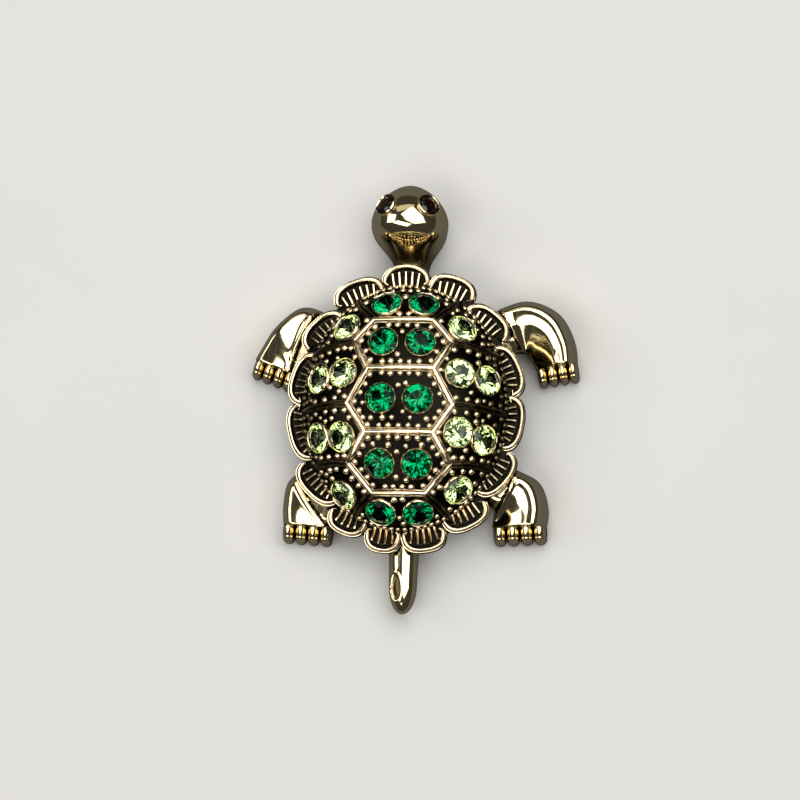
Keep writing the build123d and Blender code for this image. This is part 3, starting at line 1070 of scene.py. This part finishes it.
class BroochSizes(bpy.types.PropertyGroup):
    ridge_width: size_setting("Ridge width", "Width of the top of the raised lines", 0.42)
    ridge_height: size_setting("Ridge height", "Height of the raised lines above the dome", 0.35)
    bead_radius: size_setting("Bead radius", "Radius of the milgrain beads", 0.35)
    bead_spacing: size_setting("Bead spacing", "Least distance from bead to bead", 0.73)
    setting_wall: size_setting("Setting wall", "Thickness of the ring round each stone", 0.2)
    rib_width: size_setting("Rib width", "Width of the ribs inside the lobes of the rim", 0.40)
    rib_pitch: size_setting("Rib pitch", "Distance from rib to rib", 0.68)


class BroochFinish(bpy.types.PropertyGroup):
    aged_gold: colour_setting("Aged gold", "Rubbed parts of the shell", (0.92, 0.76, 0.50))
    polished_gold: colour_setting("Polished gold", "Head, legs and tail", (0.88, 0.74, 0.42))
    dark_glass: colour_setting("Dark stones", "Stones along the spine", (0.0, 0.22, 0.07))
    pale_glass: colour_setting("Pale stones", "Stones on the sides", (0.68, 0.95, 0.38))
    floor: colour_setting("Floor", "Colour of the floor", (0.62, 0.615, 0.60))


# Shell


def ridge_lines():
    """Plan lines of the ridges, each with its brightness at the start and at the end."""
    lines = []
    corners = {}
    for _, sign in reversed(SIDES):
        halves = np.array([sign * DOME_HALF_WIDTH, DOME_HALF_LENGTH])
        corners[sign] = [np.array(corner) * halves for corner in SPINE_CORNERS]
        for start, end in zip(corners[sign], corners[sign][1:]):
            lines.append(([start, end], 1.0, 1.0))
        for corner, shares in SIDE_RIDGES:
            places = [np.array(share) * halves for share in shares]
            lines.append(([corners[sign][corner], *places], *SIDE_RIDGE_PAINTED_SHADE))
    for index in (0, *CROSSING_CORNERS, len(SPINE_CORNERS) - 1):
        lines.append(([corners[-1][index], corners[1][index]], 1.0, 1.0))
    return lines


def dense_line(points, step):
    """Points along a line of straight runs, no further apart than step."""
    dense = [points[0]]
    for start, end in zip(points, points[1:]):
        count = max(1, math.ceil(np.linalg.norm(end - start) / step))
        dense.extend(start + (end - start) * share for share in np.linspace(0, 1, count + 1)[1:])
    return np.array(dense)


def add_dome_skin(casting):
    """Hollow dome with a round seat cut for every stone."""
    base = math.asin((RIM_UNDERSIDE - DOME_LEVEL) / DOME_HEIGHT)
    climbs = np.linspace(base, DOME_CROWN, DOME_ROWS)
    rings = []
    for shrink in (0.0, DOME_WALL):
        layer = [
            oval_ring(
                DOME_COLUMNS,
                (DOME_HALF_WIDTH - shrink) * math.cos(climb),
                (DOME_HALF_LENGTH - shrink) * math.cos(climb),
                DOME_LEVEL + (DOME_HEIGHT - shrink) * math.sin(climb),
            )
            for climb in climbs
        ]
        layer[0][:, 2] = RIM_UNDERSIDE
        rings += layer if shrink == 0 else layer[::-1]
    faces = []
    for row in range(2 * DOME_ROWS):
        if row != DOME_ROWS - 1:
            after = (row + 1) % (2 * DOME_ROWS)
            faces += ring_faces(row * DOME_COLUMNS, after * DOME_COLUMNS, DOME_COLUMNS)
    top = DOME_ROWS * DOME_COLUMNS
    faces.append(tuple(range(top - DOME_COLUMNS, top)))
    faces.append(tuple(reversed(range(top, top + DOME_COLUMNS))))
    solid, cutters = Casting(), Casting()
    solid.add(rings, faces, 0.0)
    skin = place_object("dome_skin", solid.mesh("dome_skin"))
    for _, centre, normal in stone_seats():
        ring = circle_about(normal, full_turn(SEAT_CORNERS)) * (STONE_RADIUS + SEAT_CLEARANCE)
        cutters.add_rings([centre + normal * up + ring * share for up, share in SEAT_RINGS], 0.0)
    cutter = place_object("seat_cutters", cutters.mesh("seat_cutters"))
    cut = skin.modifiers.new("seats", "BOOLEAN")
    cut.operation, cut.solver, cut.object = "DIFFERENCE", "MANIFOLD", cutter
    mesh = take_mesh(skin)
    bpy.data.objects.remove(cutter)
    casting.add(mesh_points(mesh), [tuple(face.vertices) for face in mesh.polygons], 0.0)
    bpy.data.meshes.remove(mesh)


def add_ridges(casting, width, height):
    """Raised lines: a rounded bright top between two low ledges. Lines that run down to the rim
    get painted shade on top with painted highlights along their edges, and fade darker
    towards the rim as painted shade. Lines meet at about 120 degrees, so each runs on by the
    lap."""
    half = width / 2
    slope = [
        (-half - 0.26, -0.30, 0.0),
        (-half - 0.20, 0.02, 0.1),
        (-half - 0.18, height * 0.30, 0.45),
        (-half - 0.12, height * 0.42, 0.8),
        (-half - 0.07, height * 0.40, 0.35),
        (-half - 0.03, height * 0.62, 0.5),
        (-half + 0.01, height * 0.90, 0.95),
        (-half + 0.07, height * 1.03, 1.0),
        (-half * 0.3, height * 1.12, 1.0),
    ]
    slope += [(-across, up, tone) for across, up, tone in reversed(slope)]
    profile = [(across, up) for across, up, _ in slope]
    bright = np.array([tone for _, _, tone in slope])
    # Lines down to the rim: painted shade on top, painted highlights left along the edges.
    dark = np.where([up > height * 0.95 for _, up in profile], 0.22, bright * 0.75)
    lap = half * math.tan(math.radians(30))
    for places, start_tone, end_tone in ridge_lines():
        places[0] = places[0] - unit(places[1] - places[0]) * lap
        if start_tone == 1.0:
            places[-1] = places[-1] + unit(places[-1] - places[-2]) * lap
        points, normals = on_dome(dense_line(places, RIDGE_STEP))
        # Painted shade that deepens towards the rim.
        fade = np.linspace(start_tone, end_tone, len(points))[:, None]
        tones = bright if start_tone == 1.0 else dark
        casting.add_sweep(points, normals, profile, tones[None, :] * fade**0.5)


def add_lobes(casting):
    """Plate and stepped wire edge of every lobe, and the web between the lobes."""
    for number in range(LOBE_COUNT):
        columns = [at_height(lobe_path(number, inset), height) for inset, height, _ in LOBE_WIRE]
        casting.add_rings(np.stack(columns, axis=1), [tone for _, _, tone in LOBE_WIRE])
        plate = lobe_path(number, LOBE_PLATE_INSET)
        heights = (RIM_UNDERSIDE + 0.05, RIM_FLOOR)
        casting.add_rings([at_height(plate, height) for height in heights], 0.0)
    outer = (RIM_HALF_WIDTH - NOTCH_DEPTH, RIM_HALF_LENGTH - NOTCH_DEPTH)
    inner = (DOME_HALF_WIDTH - DOME_WALL / 2, DOME_HALF_LENGTH - DOME_WALL / 2)
    casting.add_rings([
        oval_ring(OVAL_CORNERS, halves[0] * share, halves[1] * share, height)
        for halves, share, height in (
            (inner, 1, RIM_UNDERSIDE),
            (outer, 0.995, RIM_UNDERSIDE),
            (outer, 1, RIM_UNDERSIDE + 0.12),
            (outer, 1, RIM_FLOOR - 0.2),
            (outer, 0.99, RIM_FLOOR - 0.06),
            (inner, 1, RIM_FLOOR + 0.05),
        )
    ], 0.05, closed=True)


class BROOCH_OT_shell_casting(bpy.types.Operator):
    """Blackened dome with raised ridges and the scalloped rim"""

    bl_idname = "brooch.shell_casting"
    bl_label = "Shell casting"

    def execute(self, context):
        sizes = context.scene.brooch_sizes
        casting = Casting()
        add_dome_skin(casting)
        add_ridges(casting, sizes.ridge_width / MM, sizes.ridge_height / MM)
        add_lobes(casting)
        mesh = casting.mesh("shell_casting")
        finish_piece("shell_casting", mesh, [aged_gold()], ["shell"])
        return {"FINISHED"}


def rib_and_flute_lines(number, pitch):
    """Lines of the ribs of one lobe, and of the bows that end the flutes between them."""
    foot, outward, aside, length, foot_half, tip_half = lobe_frame(number)
    inner_half = (foot_half + tip_half) / 2 - RIB_MARGIN
    count = max(1, round(2 * inner_half / pitch))
    ribs, bows = [], []
    for index in range(count):
        shift = (index - (count - 1) / 2) * pitch
        reach = length - RIB_END_ROOM - RIB_BOW * (shift / inner_half) ** 2
        start = foot + aside * shift * foot_half / tip_half - outward * RIB_ROOT
        end = foot + aside * shift + outward * reach
        ribs.append([
            (*start, RIB_LEVEL),
            (*(start * 0.5 + end * 0.5), RIB_LEVEL + RIB_CREST),
            (*end, RIB_LEVEL - RIB_END_FALL),
        ])
    for index in range(count + 1):
        shift = (index - count / 2) * pitch
        reach = length - FLUTE_END_ROOM - RIB_BOW * (shift / inner_half) ** 2
        bow = []
        for share in np.linspace(-1, 1, FLUTE_POINTS):
            far = reach + FLUTE_BOW * math.sqrt(max(0, 1 - share * share))
            spot = foot + aside * (shift + share * pitch * FLUTE_SPREAD) + outward * far
            bow.append((*spot, RIM_FLOOR + 0.02))
        bows.append(bow)
    return ribs, bows


class BROOCH_OT_rim_ribs(bpy.types.Operator):
    """Ribs inside the lobes and the rounded ends of the flutes between them"""

    bl_idname = "brooch.rim_ribs"
    bl_label = "Rim ribs"

    def execute(self, context):
        sizes = context.scene.brooch_sizes
        ribs, bows = [], []
        for number in range(LOBE_COUNT):
            lobe_ribs, lobe_bows = rib_and_flute_lines(number, sizes.rib_pitch / MM)
            ribs += lobe_ribs
            bows += lobe_bows
        tree = bar_tree()
        for name, lines, width, height, tone_at in (
            ("rim_ribs", ribs, sizes.rib_width, RIB_HEIGHT * MM, self.rib_tone),
            ("flute_ends", bows, FLUTE_WIRE[0] * MM, FLUTE_WIRE[1] * MM, self.flute_tone),
        ):
            grow_piece(name, guide_lines(name + "_lines", lines), tree, {
                "Width": width, "Height": height,
            }, aged_gold(), tone_at, smooth_angle=38.0)
        return {"FINISHED"}

    @staticmethod
    def rib_tone(places):
        # Ribs far out on the flanks are darker: painted shade.
        return smoothstep(places[:, 2], *RIB_RUBBED) * painted_flank_shade(places)

    @staticmethod
    def flute_tone(places):
        return smoothstep(places[:, 2], *FLUTE_RUBBED) * FLUTE_BRIGHTNESS


class BeadField:
    """Places of the milgrain beads. A bead is taken where it has room to the ridges, to the
    stones, which keep it off down to their depth, and to the other beads."""

    RIDGE_CHECK_STEP = 0.25
    RADIUS_SHARE = 0.7
    STONE_DEPTH = 2

    def __init__(self, radius, spacing):
        self.spacing = spacing
        self.stone_room = STONE_RADIUS + BEAD_STONE_ROOM + radius * self.RADIUS_SHARE
        self.seats = [(centre, normal) for _, centre, normal in stone_seats()]
        lines = [dense_line(places, self.RIDGE_CHECK_STEP) for places, _, _ in ridge_lines()]
        self.ridges = np.vstack([on_dome(line)[0] for line in lines])
        self.points, self.facings, self.sizes = [], [], []

    def clear(self, point, least, ridge_room):
        if np.min(np.linalg.norm(self.ridges - point, axis=1)) < ridge_room:
            return False
        for centre, normal in self.seats:
            offset = point - centre
            rise = np.dot(offset, normal)
            aside = np.linalg.norm(offset - normal * rise)
            if aside < self.stone_room and rise > -self.STONE_DEPTH:
                return False
        others = self.points
        return not others or np.min(np.linalg.norm(np.array(others) - point, axis=1)) >= least

    def take(self, plan, room, size):
        least, ridge_room = room
        point, normal = (rows[0] for rows in on_dome(plan))
        if point[2] >= BEAD_FLOOR and self.clear(point, self.spacing * least, ridge_room):
            self.points.append(point)
            self.facings.append(normal)
            self.sizes.append(size)


def bead_places(radius, spacing):
    """Rows of beads along the dome's foot and the ridges, then beads that fill the scutes."""
    rng = np.random.default_rng(11)
    field = BeadField(radius, spacing)
    turn = 0.0
    while turn < 2 * math.pi:
        plan = BEAD_FOOT_SHARE * oval_point(DOME_HALF_WIDTH, DOME_HALF_LENGTH, turn)
        field.take(plan, FOOT_ROW_ROOM, FOOT_BEAD_SIZE)
        pace = np.linalg.norm(oval_point(DOME_HALF_LENGTH, DOME_HALF_WIDTH, turn))
        turn += spacing * FOOT_ROW_PACE / pace
    for places, _, _ in ridge_lines():
        for start, end in zip(places, places[1:]):
            length = np.linalg.norm(end - start)
            course = (end - start) / length
            steps = max(2, int(length / (spacing * RIDGE_ROW_PACE)))
            for sign in (-1, 1):
                aside = np.array([-course[1], course[0]]) * sign * BEAD_ROOM
                for share in (np.arange(steps) + 0.5) / steps:
                    jitter = rng.uniform(-BEAD_JITTER, BEAD_JITTER, 2)
                    plan = start + course * length * share + aside + jitter
                    field.take(plan, RIDGE_ROW_ROOM, 1.0)
    for _ in range(BEAD_TRIES):
        angle, climb = rng.uniform(0, 2 * math.pi), rng.uniform(0.0, 1.0)
        spread = math.sqrt(1 - climb * climb)
        plan = spread * oval_point(DOME_HALF_WIDTH, DOME_HALF_LENGTH, angle)
        field.take(plan, SCUTE_ROOM, rng.uniform(*BEAD_SIZE_RANGE))
    return np.array(field.points), np.array(field.facings), np.array(field.sizes)


class BROOCH_OT_beads(bpy.types.Operator):
    """Milgrain beads over the floor of the scutes"""

    bl_idname = "brooch.beads"
    bl_label = "Milgrain beads"

    def execute(self, context):
        sizes = context.scene.brooch_sizes
        radius = sizes.bead_radius / MM
        points, facings, shares = bead_places(radius, sizes.bead_spacing / MM)
        guide = guide_points("bead_points", points + facings * BEAD_RISE, facings, shares)

        def tone_at(places):
            rubbed = smoothstep(above_dome(places), 0.0, radius * BEAD_RUBBED_SHARE)
            # Beads far out on the flanks are darker: painted shade.
            return BEAD_BRIGHTNESS * rubbed * painted_flank_shade(places)

        grow_piece("shell_beads", guide, bead_tree(), {
            "Bead Radius": sizes.bead_radius, "Variation": 0.1, "Seed": 5,
        }, aged_gold(), tone_at)
        return {"FINISHED"}


class BROOCH_OT_settings(bpy.types.Operator):
    """Thin rings that hold the stones"""

    bl_idname = "brooch.settings"
    bl_label = "Stone settings"

    def execute(self, context):
        seats = stone_seats()
        centres = [centre - normal * SETTING_SINK for _, centre, normal in seats]
        normals = [normal for _, _, normal in seats]
        guide = guide_points("setting_points", centres, normals, np.ones(len(seats)))
        grow_piece("stone_settings", guide, setting_tree(), {
            "Ring Radius": (STONE_RADIUS + SETTING_CLEARANCE) * MM,
            "Wall": context.scene.brooch_sizes.setting_wall,
            "Depth": SETTING_DEPTH * MM,
        }, aged_gold(), lambda places: smoothstep(above_dome(places), *SETTING_RUBBED))
        return {"FINISHED"}


# Stones


def brilliant(centre, normal, radius, twist, rng):
    """Round brilliant: table, stars, kites and girdle facets, then a faceted back."""
    points = []
    for count, share, level, turn in BRILLIANT_RINGS:
        circle = circle_about(normal, twist + turn * math.pi / 4 + full_turn(count))
        points.append(centre + circle * share * radius + normal * level * radius)
    points = np.vstack(points)
    table, star, upper, lower, back, culet = 0, 8, 16, 32, 48, 56
    points[back:culet] += rng.normal(0, FACET_UNEVENNESS * radius, (8, 3))
    crown = [tuple(range(8))]
    pavilion = [tuple(reversed(range(culet, culet + 8)))]
    for index in range(8):
        before, after, edge = (index - 1) % 8, (index + 1) % 8, 2 * index
        beyond = (edge + 2) % 16
        crown += [
            (table + index, star + index, table + after),
            (table + index, star + before, upper + edge, star + index),
            (star + index, upper + edge, upper + edge + 1),
            (star + index, upper + edge + 1, upper + beyond),
        ]
        pavilion += [
            (back + index, lower + edge + 1, lower + edge),
            (back + index, lower + beyond, lower + edge + 1),
            (culet + index, back + index, lower + edge, back + before),
            (culet + index, culet + after, back + index),
        ]
    for index in range(16):
        after = (index + 1) % 16
        crown.append((upper + index, upper + after, lower + after, lower + index))
    return points, crown, pavilion


def make_stone(node, centre, normal, radius, rng, glass, foil, slot):
    twist = rng.uniform(0, math.pi / 4)
    points, crown, pavilion = brilliant(centre, normal, radius, twist, rng)
    casting = Casting()
    casting.add(points, crown + pavilion, 1.0, [0] * len(crown) + [1] * len(pavilion))
    name = f"cut_{node}"
    finish_piece(name, casting.mesh(name), [glass, foil], [node], smooth_angle=0)


class BROOCH_OT_stones(bpy.types.Operator):
    """Foiled glass stones of the shell"""

    bl_idname = "brooch.stones"
    bl_label = "Stones"

    def execute(self, context):
        finish = context.scene.brooch_finish
        looks = {
            "dark": (
                glass_material("dark green stone", finish.dark_glass, 1.56, gloss=0.12),
                foil_material("foil of dark stones", (0.40, 0.66, 0.50), 0.02),
                "dark_green_glass",
            ),
            "pale": (
                glass_material("pale green stone", finish.pale_glass, 1.56, gloss=0.5),
                foil_material("foil of pale stones", (0.98, 0.99, 0.90), 0.7),
                "pale_green_glass",
            ),
        }
        rng = np.random.default_rng(3)
        for node, centre, normal in stone_seats():
            lean = unit(normal + rng.normal(0, STONE_LEAN, 3))
            look = looks[node[:4]]
            make_stone(node, centre + normal * STONE_LIFT, lean, STONE_RADIUS, rng, *look)
        return {"FINISHED"}


class BROOCH_OT_eyes(bpy.types.Operator):
    """Black eye stones"""

    bl_idname = "brooch.eyes"
    bl_label = "Eyes"

    def execute(self, context):
        glass = glass_material("black stone", (0.05, 0.02, 0.008), 1.52)
        foil = foil_material("foil of eye stones", (0.16, 0.08, 0.04), 0.06)
        rng = np.random.default_rng(5)
        for side, centre, aim in eye_frames():
            make_stone(f"eye_{side}", centre, aim, EYE_RADIUS, rng, glass, foil, "black_glass")
        return {"FINISHED"}


# Polished casting


def smooth_rows(rows, count):
    """Catmull-Rom curve through rows of values."""
    rows = np.asarray(rows, float)
    padded = np.vstack([2 * rows[0] - rows[1], rows, 2 * rows[-1] - rows[-2]])
    result = []
    for place in np.linspace(0, len(rows) - 1, count):
        index = min(int(place), len(rows) - 2)
        t = place - index
        a, b, c, d = padded[index:index + 4]
        square, cube = 2 * a - 5 * b + 4 * c - d, 3 * b - a - 3 * c + d
        result.append(0.5 * (2 * b + (c - a) * t + square * t**2 + cube * t**3))
    return np.array(result)


def leg_section(count, steepness):
    """Closed outline of a leg in shares of its width and height: a crisp inner lip, a sloping
    panel, a rounded crest towards the outside and a flat underside."""
    outline = smooth_rows(LEG_TOP, count)
    panel = outline[:, 0] < CREST_SHARE
    outline[panel, 1] = LEG_CREST - (LEG_CREST - outline[panel, 1]) * steepness
    return np.vstack([outline, LEG_UNDERSIDE])


def add_leg(casting, side, reach, steepness, rows):
    """Puffed leg with a crisp inner edge, and its toes. It stays under the rim up to a gap
    outside it, and rolls up a little there."""
    outward = side * reach
    scales = [outward, RIM_HALF_LENGTH, outward, RIM_HALF_LENGTH, LEG_HEIGHT, LEG_HEIGHT]
    sections = smooth_rows(np.array(rows) * scales, LEG_SECTIONS)[:-2]
    outline = leg_section(LEG_TOP_POINTS, steepness)
    rings = []
    for section in sections:
        inner, outer, low, top = section[:2], section[2:4], max(section[4], 0.0), section[5]
        plan = inner + outline[:, :1] * (outer - inner)
        rings.append(np.column_stack([plan, low + outline[:, 1] * (top - low)]))
    rings = np.array(rings)
    beyond = np.hypot(rings[:, :, 0] / RIM_HALF_WIDTH, rings[:, :, 1] / RIM_HALF_LENGTH) - 1
    beyond = beyond * (RIM_HALF_WIDTH + RIM_HALF_LENGTH) / 2
    roll = ROLL_HEIGHT * np.exp(-((beyond - ROLL_PLACE) / ROLL_HALF_WIDTH) ** 2)
    rings[:, :, 2] += roll * smoothstep(outline[:, 1], *ROLL_FADE)[None, :]
    under_rim = np.minimum(rings[:, :, 2], RIM_UNDERSIDE - LEG_UNDER_RIM)
    rings[:, :, 2] = np.where(beyond < LEG_GAP, under_rim, rings[:, :, 2])
    middle = rings[-1].mean(axis=0)
    along = unit(outer - inner)
    heading = np.array([side * along[1], -side * along[0], 0.0])
    ends = [middle + (rings[-1] - middle) * left + heading * push for push, left in LEG_END]
    rings = np.vstack([rings, ends])
    rings[:, :, 2] = np.maximum(rings[:, :, 2], 0.0)
    tones = np.ones((len(rings), len(outline)))
    tones[-2:] = LEG_END_TONE
    casting.add_rings(rings, tones)
    room = np.linalg.norm(outer - inner) / TOE_COUNT
    for number in range(TOE_COUNT):
        start = np.array([*(inner + along * room * (number + 0.5)), 0.0])
        add_toe(casting, start, heading, np.array([*along, 0.0]), room / 2)


def add_toe(casting, start, heading, aside, half_width):
    """One toe: nearly level on top, pinched behind its last joint and rounded at the tip."""
    shoulder = TOE_REACH - TOE_TIP
    ahead = np.concatenate([
        np.linspace(-TOE_ROOT, shoulder, 10, endpoint=False),
        TOE_REACH - TOE_TIP * (1 - np.sin(np.linspace(0, 1, 18) * math.pi / 2)),
    ])
    turn = full_turn(TOE_CORNERS)
    rings = []
    for place in ahead:
        rounding = max(0.0, (place - shoulder) / TOE_TIP)
        fullness = math.sqrt(max(1e-3, 1 - rounding**TOE_BLUNTNESS))
        behind = (place - TOE_REACH + PINCH_PLACE) / PINCH_HALF_WIDTH
        pinch = 1 - TOE_PINCH * math.exp(-(behind**2))
        top = TOE_LEVEL - TOE_FALL * (place + TOE_ROOT) ** 2
        half_height = top / 2 * (0.35 + 0.65 * fullness) * fullness**0.5 * pinch
        wide = half_width * (1 - TOE_WAIST * (place < TOE_WAIST_END)) * fullness * pinch
        middle = start + heading * place + np.array([0, 0, top * (0.5 - 0.1 * (1 - fullness))])
        rings.append(
            middle
            + np.outer(np.cos(turn) * wide, aside)
            + np.outer(np.sin(turn) * half_height, [0, 0, 1])
        )
    rings = np.array(rings)
    rings[:, :, 2] = np.maximum(rings[:, :, 2], 0.0)
    # Toes are darker towards their underside.
    casting.add_rings(rings, smoothstep(np.sin(turn), *TOE_UNDERSIDE_FADE)[None, :])


def add_head(casting):
    """Head with its neck: a ball that runs into the neck behind."""
    turn = full_turn(HEAD_CORNERS)
    rings, tones = [], []
    for y, radius in smooth_rows(HEAD_PROFILE, HEAD_RINGS):
        fall = float(smoothstep(HEAD_CENTRE.y - y, *NECK_RANGE))
        x = HEAD_CENTRE.x * (1 - 0.5 * fall)
        z = HEAD_CENTRE.z + (NECK_LEVEL - HEAD_CENTRE.z) * fall
        rings.append(upright_ring(x, y, z, radius, turn))
        # The neck is darker: painted shade under the head and the rim.
        tones.append([1 - 0.5 * fall**2])
    casting.add_rings(rings, tones)


def add_tail(casting):
    """Round tail with a leaf-shaped dimple on its left."""
    shoulder = TAIL_ROUNDING - TAIL_REACH
    places = np.concatenate([
        np.linspace(-TAIL_START, -DIMPLE_START, 10),
        np.linspace(-DIMPLE_START, shoulder, 24)[1:],
        shoulder - TAIL_ROUNDING * np.sin(np.linspace(0, 1, 50)[1:] * math.pi / 2),
    ])
    turn = full_turn(OVAL_CORNERS)
    rings = []
    for y in places:
        rounding = max(0.0, (shoulder - y) / TAIL_ROUNDING)
        fullness = math.sqrt(max(1e-4, 1 - rounding**TAIL_BLUNTNESS))
        radius = (TAIL_ROOT_RADIUS - TAIL_TAPER * (-y - TAIL_ROOT)) * fullness
        rings.append(upright_ring(0.0, y, TAIL_LEVEL, radius, turn))
    rings = np.array(rings)
    spoke = rings * np.array([1, 0, 1]) - np.array([0, 0, TAIL_LEVEL])
    turns = np.arctan2(spoke[:, :, 2], spoke[:, :, 0])
    arc = (turns - DIMPLE_TURN) * np.linalg.norm(spoke, axis=2)
    along = rings[:, :, 1] - DIMPLE_MIDDLE
    far = np.hypot(arc / (DIMPLE_HALF_WIDTH - 0.1 * along), along / DIMPLE_HALF_LENGTH)
    inside = smoothstep(far, 1.0, 0.72)
    lip = DIMPLE_LIP * smoothstep(far, 0.85, 1.05) * smoothstep(far, 1.35, 1.1)
    rings = rings - unit(spoke + 1e-9) * (DIMPLE_DEPTH * inside - lip)[:, :, None]
    # The dimple is darker inside: painted shade.
    casting.add_rings(rings, 1 - DIMPLE_PAINTED_SHADE * inside)


def add_plate(casting):
    """Belly plate with rounded edges."""
    casting.add_rings([
        oval_ring(OVAL_CORNERS, RIM_HALF_WIDTH - inset, RIM_HALF_LENGTH - inset, height)
        for inset, height in (
            (PLATE_INSET + 0.30, PLATE_BOTTOM),
            (PLATE_INSET + 0.08, PLATE_BOTTOM + 0.06),
            (PLATE_INSET, PLATE_BOTTOM + 0.24),
            (PLATE_INSET, PLATE_TOP - 0.12),
            (PLATE_INSET + 0.12, PLATE_TOP),
        )
    ], 0.9)


class BROOCH_OT_body_casting(bpy.types.Operator):
    """Polished belly plate, head, legs and tail"""

    bl_idname = "brooch.body_casting"
    bl_label = "Body casting"

    def execute(self, context):
        casting = Casting()
        add_plate(casting)
        for side, reach, steepness, rows in LEGS.values():
            add_leg(casting, side, reach, steepness, rows)
        add_head(casting)
        add_tail(casting)
        material = polished_gold()
        mesh = casting.mesh("body_casting")
        finish_piece("body_casting", mesh, [material], ["body"], smooth_angle=50)
        eyes = list(eye_frames())
        centres = [centre - aim * EYE_RING["sink"] for _, centre, aim in eyes]
        guide = guide_points("bezel_points", centres, [aim for _, _, aim in eyes], np.ones(2))
        grow_piece("eye_bezels", guide, setting_tree(), {
            "Ring Radius": (EYE_RADIUS + EYE_RING["clearance"]) * MM,
            "Wall": EYE_RING["wall"] * MM,
            "Depth": EYE_RING["depth"] * MM,
        }, material, lambda places: np.ones(len(places)))
        return {"FINISHED"}


class BROOCH_OT_pin(bpy.types.Operator):
    """Finish of the pin on the back"""

    bl_idname = "brooch.pin"
    bl_label = "Pin"

    def execute(self, context):
        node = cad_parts["pin_fitting"]
        material = pin_gold()
        if node.material_slots:
            for slot in node.material_slots:
                slot.material = material
        else:
            node.data.materials.append(material)
        return {"FINISHED"}


# Stage


def floor_material():
    """Plain paper. The metal mirrors it darker than it looks, as the real brooch mirrors
    something dark."""
    colour = bpy.context.scene.brooch_finish.floor
    material, tree, shader, place = new_material("floor_paper")
    dimmer = tuple(channel * 0.97 for channel in colour)
    paper = blend(tree, noise(tree, place, 60.0), (*dimmer, 1), (*colour, 1))
    seen = place_node(tree, "ShaderNodeLightPath").outputs["Is Camera Ray"]
    set_inputs(tree, shader, {
        "Base Color": blend(tree, seen, FLOOR_IN_MIRROR, paper),
        "Roughness": 0.9,
        "Specular IOR Level": 0.1,
    })
    return material


def place_camera(right, up, back, target):
    camera = bpy.data.cameras.new("camera")
    camera.sensor_width = CAMERA_SENSOR
    camera.lens = CAMERA_SENSOR * CAMERA_DISTANCE / (CAMERA_WIDTH * MM)
    camera.clip_start = 0.01
    eye = place_object("camera", camera)
    eye.matrix_world = Matrix((right, up, back)).transposed().to_4x4()
    eye.location = target + back * CAMERA_DISTANCE
    bpy.context.scene.camera = eye


def place_light(name, aim, size, power, colour, target):
    """Soft box that stands along aim from the target and looks at it."""
    light = bpy.data.lights.new(name, "AREA")
    light.shape = "RECTANGLE"
    light.size, light.size_y = size
    light.energy = power
    light.color = colour
    lamp = place_object(name, light)
    lamp.location = target + aim.normalized() * LIGHT_DISTANCE
    lamp.rotation_euler = (-aim).to_track_quat("-Z", "Y").to_euler()


class BROOCH_OT_stage(bpy.types.Operator):
    """Floor, studio light and camera"""

    bl_idname = "brooch.stage"
    bl_label = "Stage"

    def execute(self, context):
        scene = context.scene
        mesh = bpy.data.meshes.new("floor")
        corners = [(x * FLOOR_REACH, y * FLOOR_REACH, 0) for x, y in (
            (-1, -1), (1, -1), (1, 1), (-1, 1),
        )]
        mesh.from_pydata(corners, [], [(0, 1, 2, 3)])
        mesh.materials.append(floor_material())
        floor = place_object("floor", mesh)
        floor.location = (0, 0, cad_low.z)

        right = CAMERA_RIGHT.normalized()
        back = right.cross(CAMERA_UP.normalized()).normalized()
        up = back.cross(right)
        across, along = (shift * MM for shift in CAMERA_SHIFT)
        target = Vector(SHELL_MIDDLE) + Vector((0, 0, CAMERA_TARGET_LEVEL * MM))
        target += right * across + up * along
        place_camera(right, up, back, target)
        for name, ((x, y, z), size, power, colour) in LIGHTS.items():
            place_light(name, right * x + up * y + back * z, size, power, colour, target)
        world = bpy.data.worlds.new("studio")
        world.use_nodes = True
        set_inputs(world.node_tree, world.node_tree.nodes["Background"], {
            "Color": (WORLD_GREY, WORLD_GREY, WORLD_GREY, 1), "Strength": WORLD_STRENGTH,
        })
        scene.world = world
        scene.view_settings.view_transform = "Standard"
        return {"FINISHED"}


class BROOCH_PT_panel(bpy.types.Panel):
    """Sizes, finishes and the steps that build the brooch"""

    bl_label = "Turtle brooch"
    bl_idname = "BROOCH_PT_panel"
    bl_space_type = "VIEW_3D"
    bl_region_type = "UI"
    bl_category = "Brooch"

    def draw(self, context):
        for group in (context.scene.brooch_sizes, context.scene.brooch_finish):
            for name in group.__annotations__:
                self.layout.prop(group, name)
        for step in STEPS:
            self.layout.operator(step.bl_idname)


STEPS = [
    BROOCH_OT_shell_casting,
    BROOCH_OT_rim_ribs,
    BROOCH_OT_beads,
    BROOCH_OT_settings,
    BROOCH_OT_stones,
    BROOCH_OT_body_casting,
    BROOCH_OT_eyes,
    BROOCH_OT_pin,
    BROOCH_OT_stage,
]
CLASSES = [BroochSizes, BroochFinish, *STEPS, BROOCH_PT_panel]


def register():
    for item in CLASSES:
        bpy.utils.register_class(item)
    bpy.types.Scene.brooch_sizes = bpy.props.PointerProperty(type=BroochSizes)
    bpy.types.Scene.brooch_finish = bpy.props.PointerProperty(type=BroochFinish)


def unregister():
    del bpy.types.Scene.brooch_finish
    del bpy.types.Scene.brooch_sizes
    for item in reversed(CLASSES):
        bpy.utils.unregister_class(item)


def main():
    register()
    bpy.ops.brooch.shell_casting()
    bpy.ops.brooch.rim_ribs()
    bpy.ops.brooch.beads()
    bpy.ops.brooch.settings()
    bpy.ops.brooch.stones()
    bpy.ops.brooch.body_casting()
    bpy.ops.brooch.eyes()
    bpy.ops.brooch.pin()
    bpy.ops.brooch.stage()


if __name__ == "__main__":
    main()
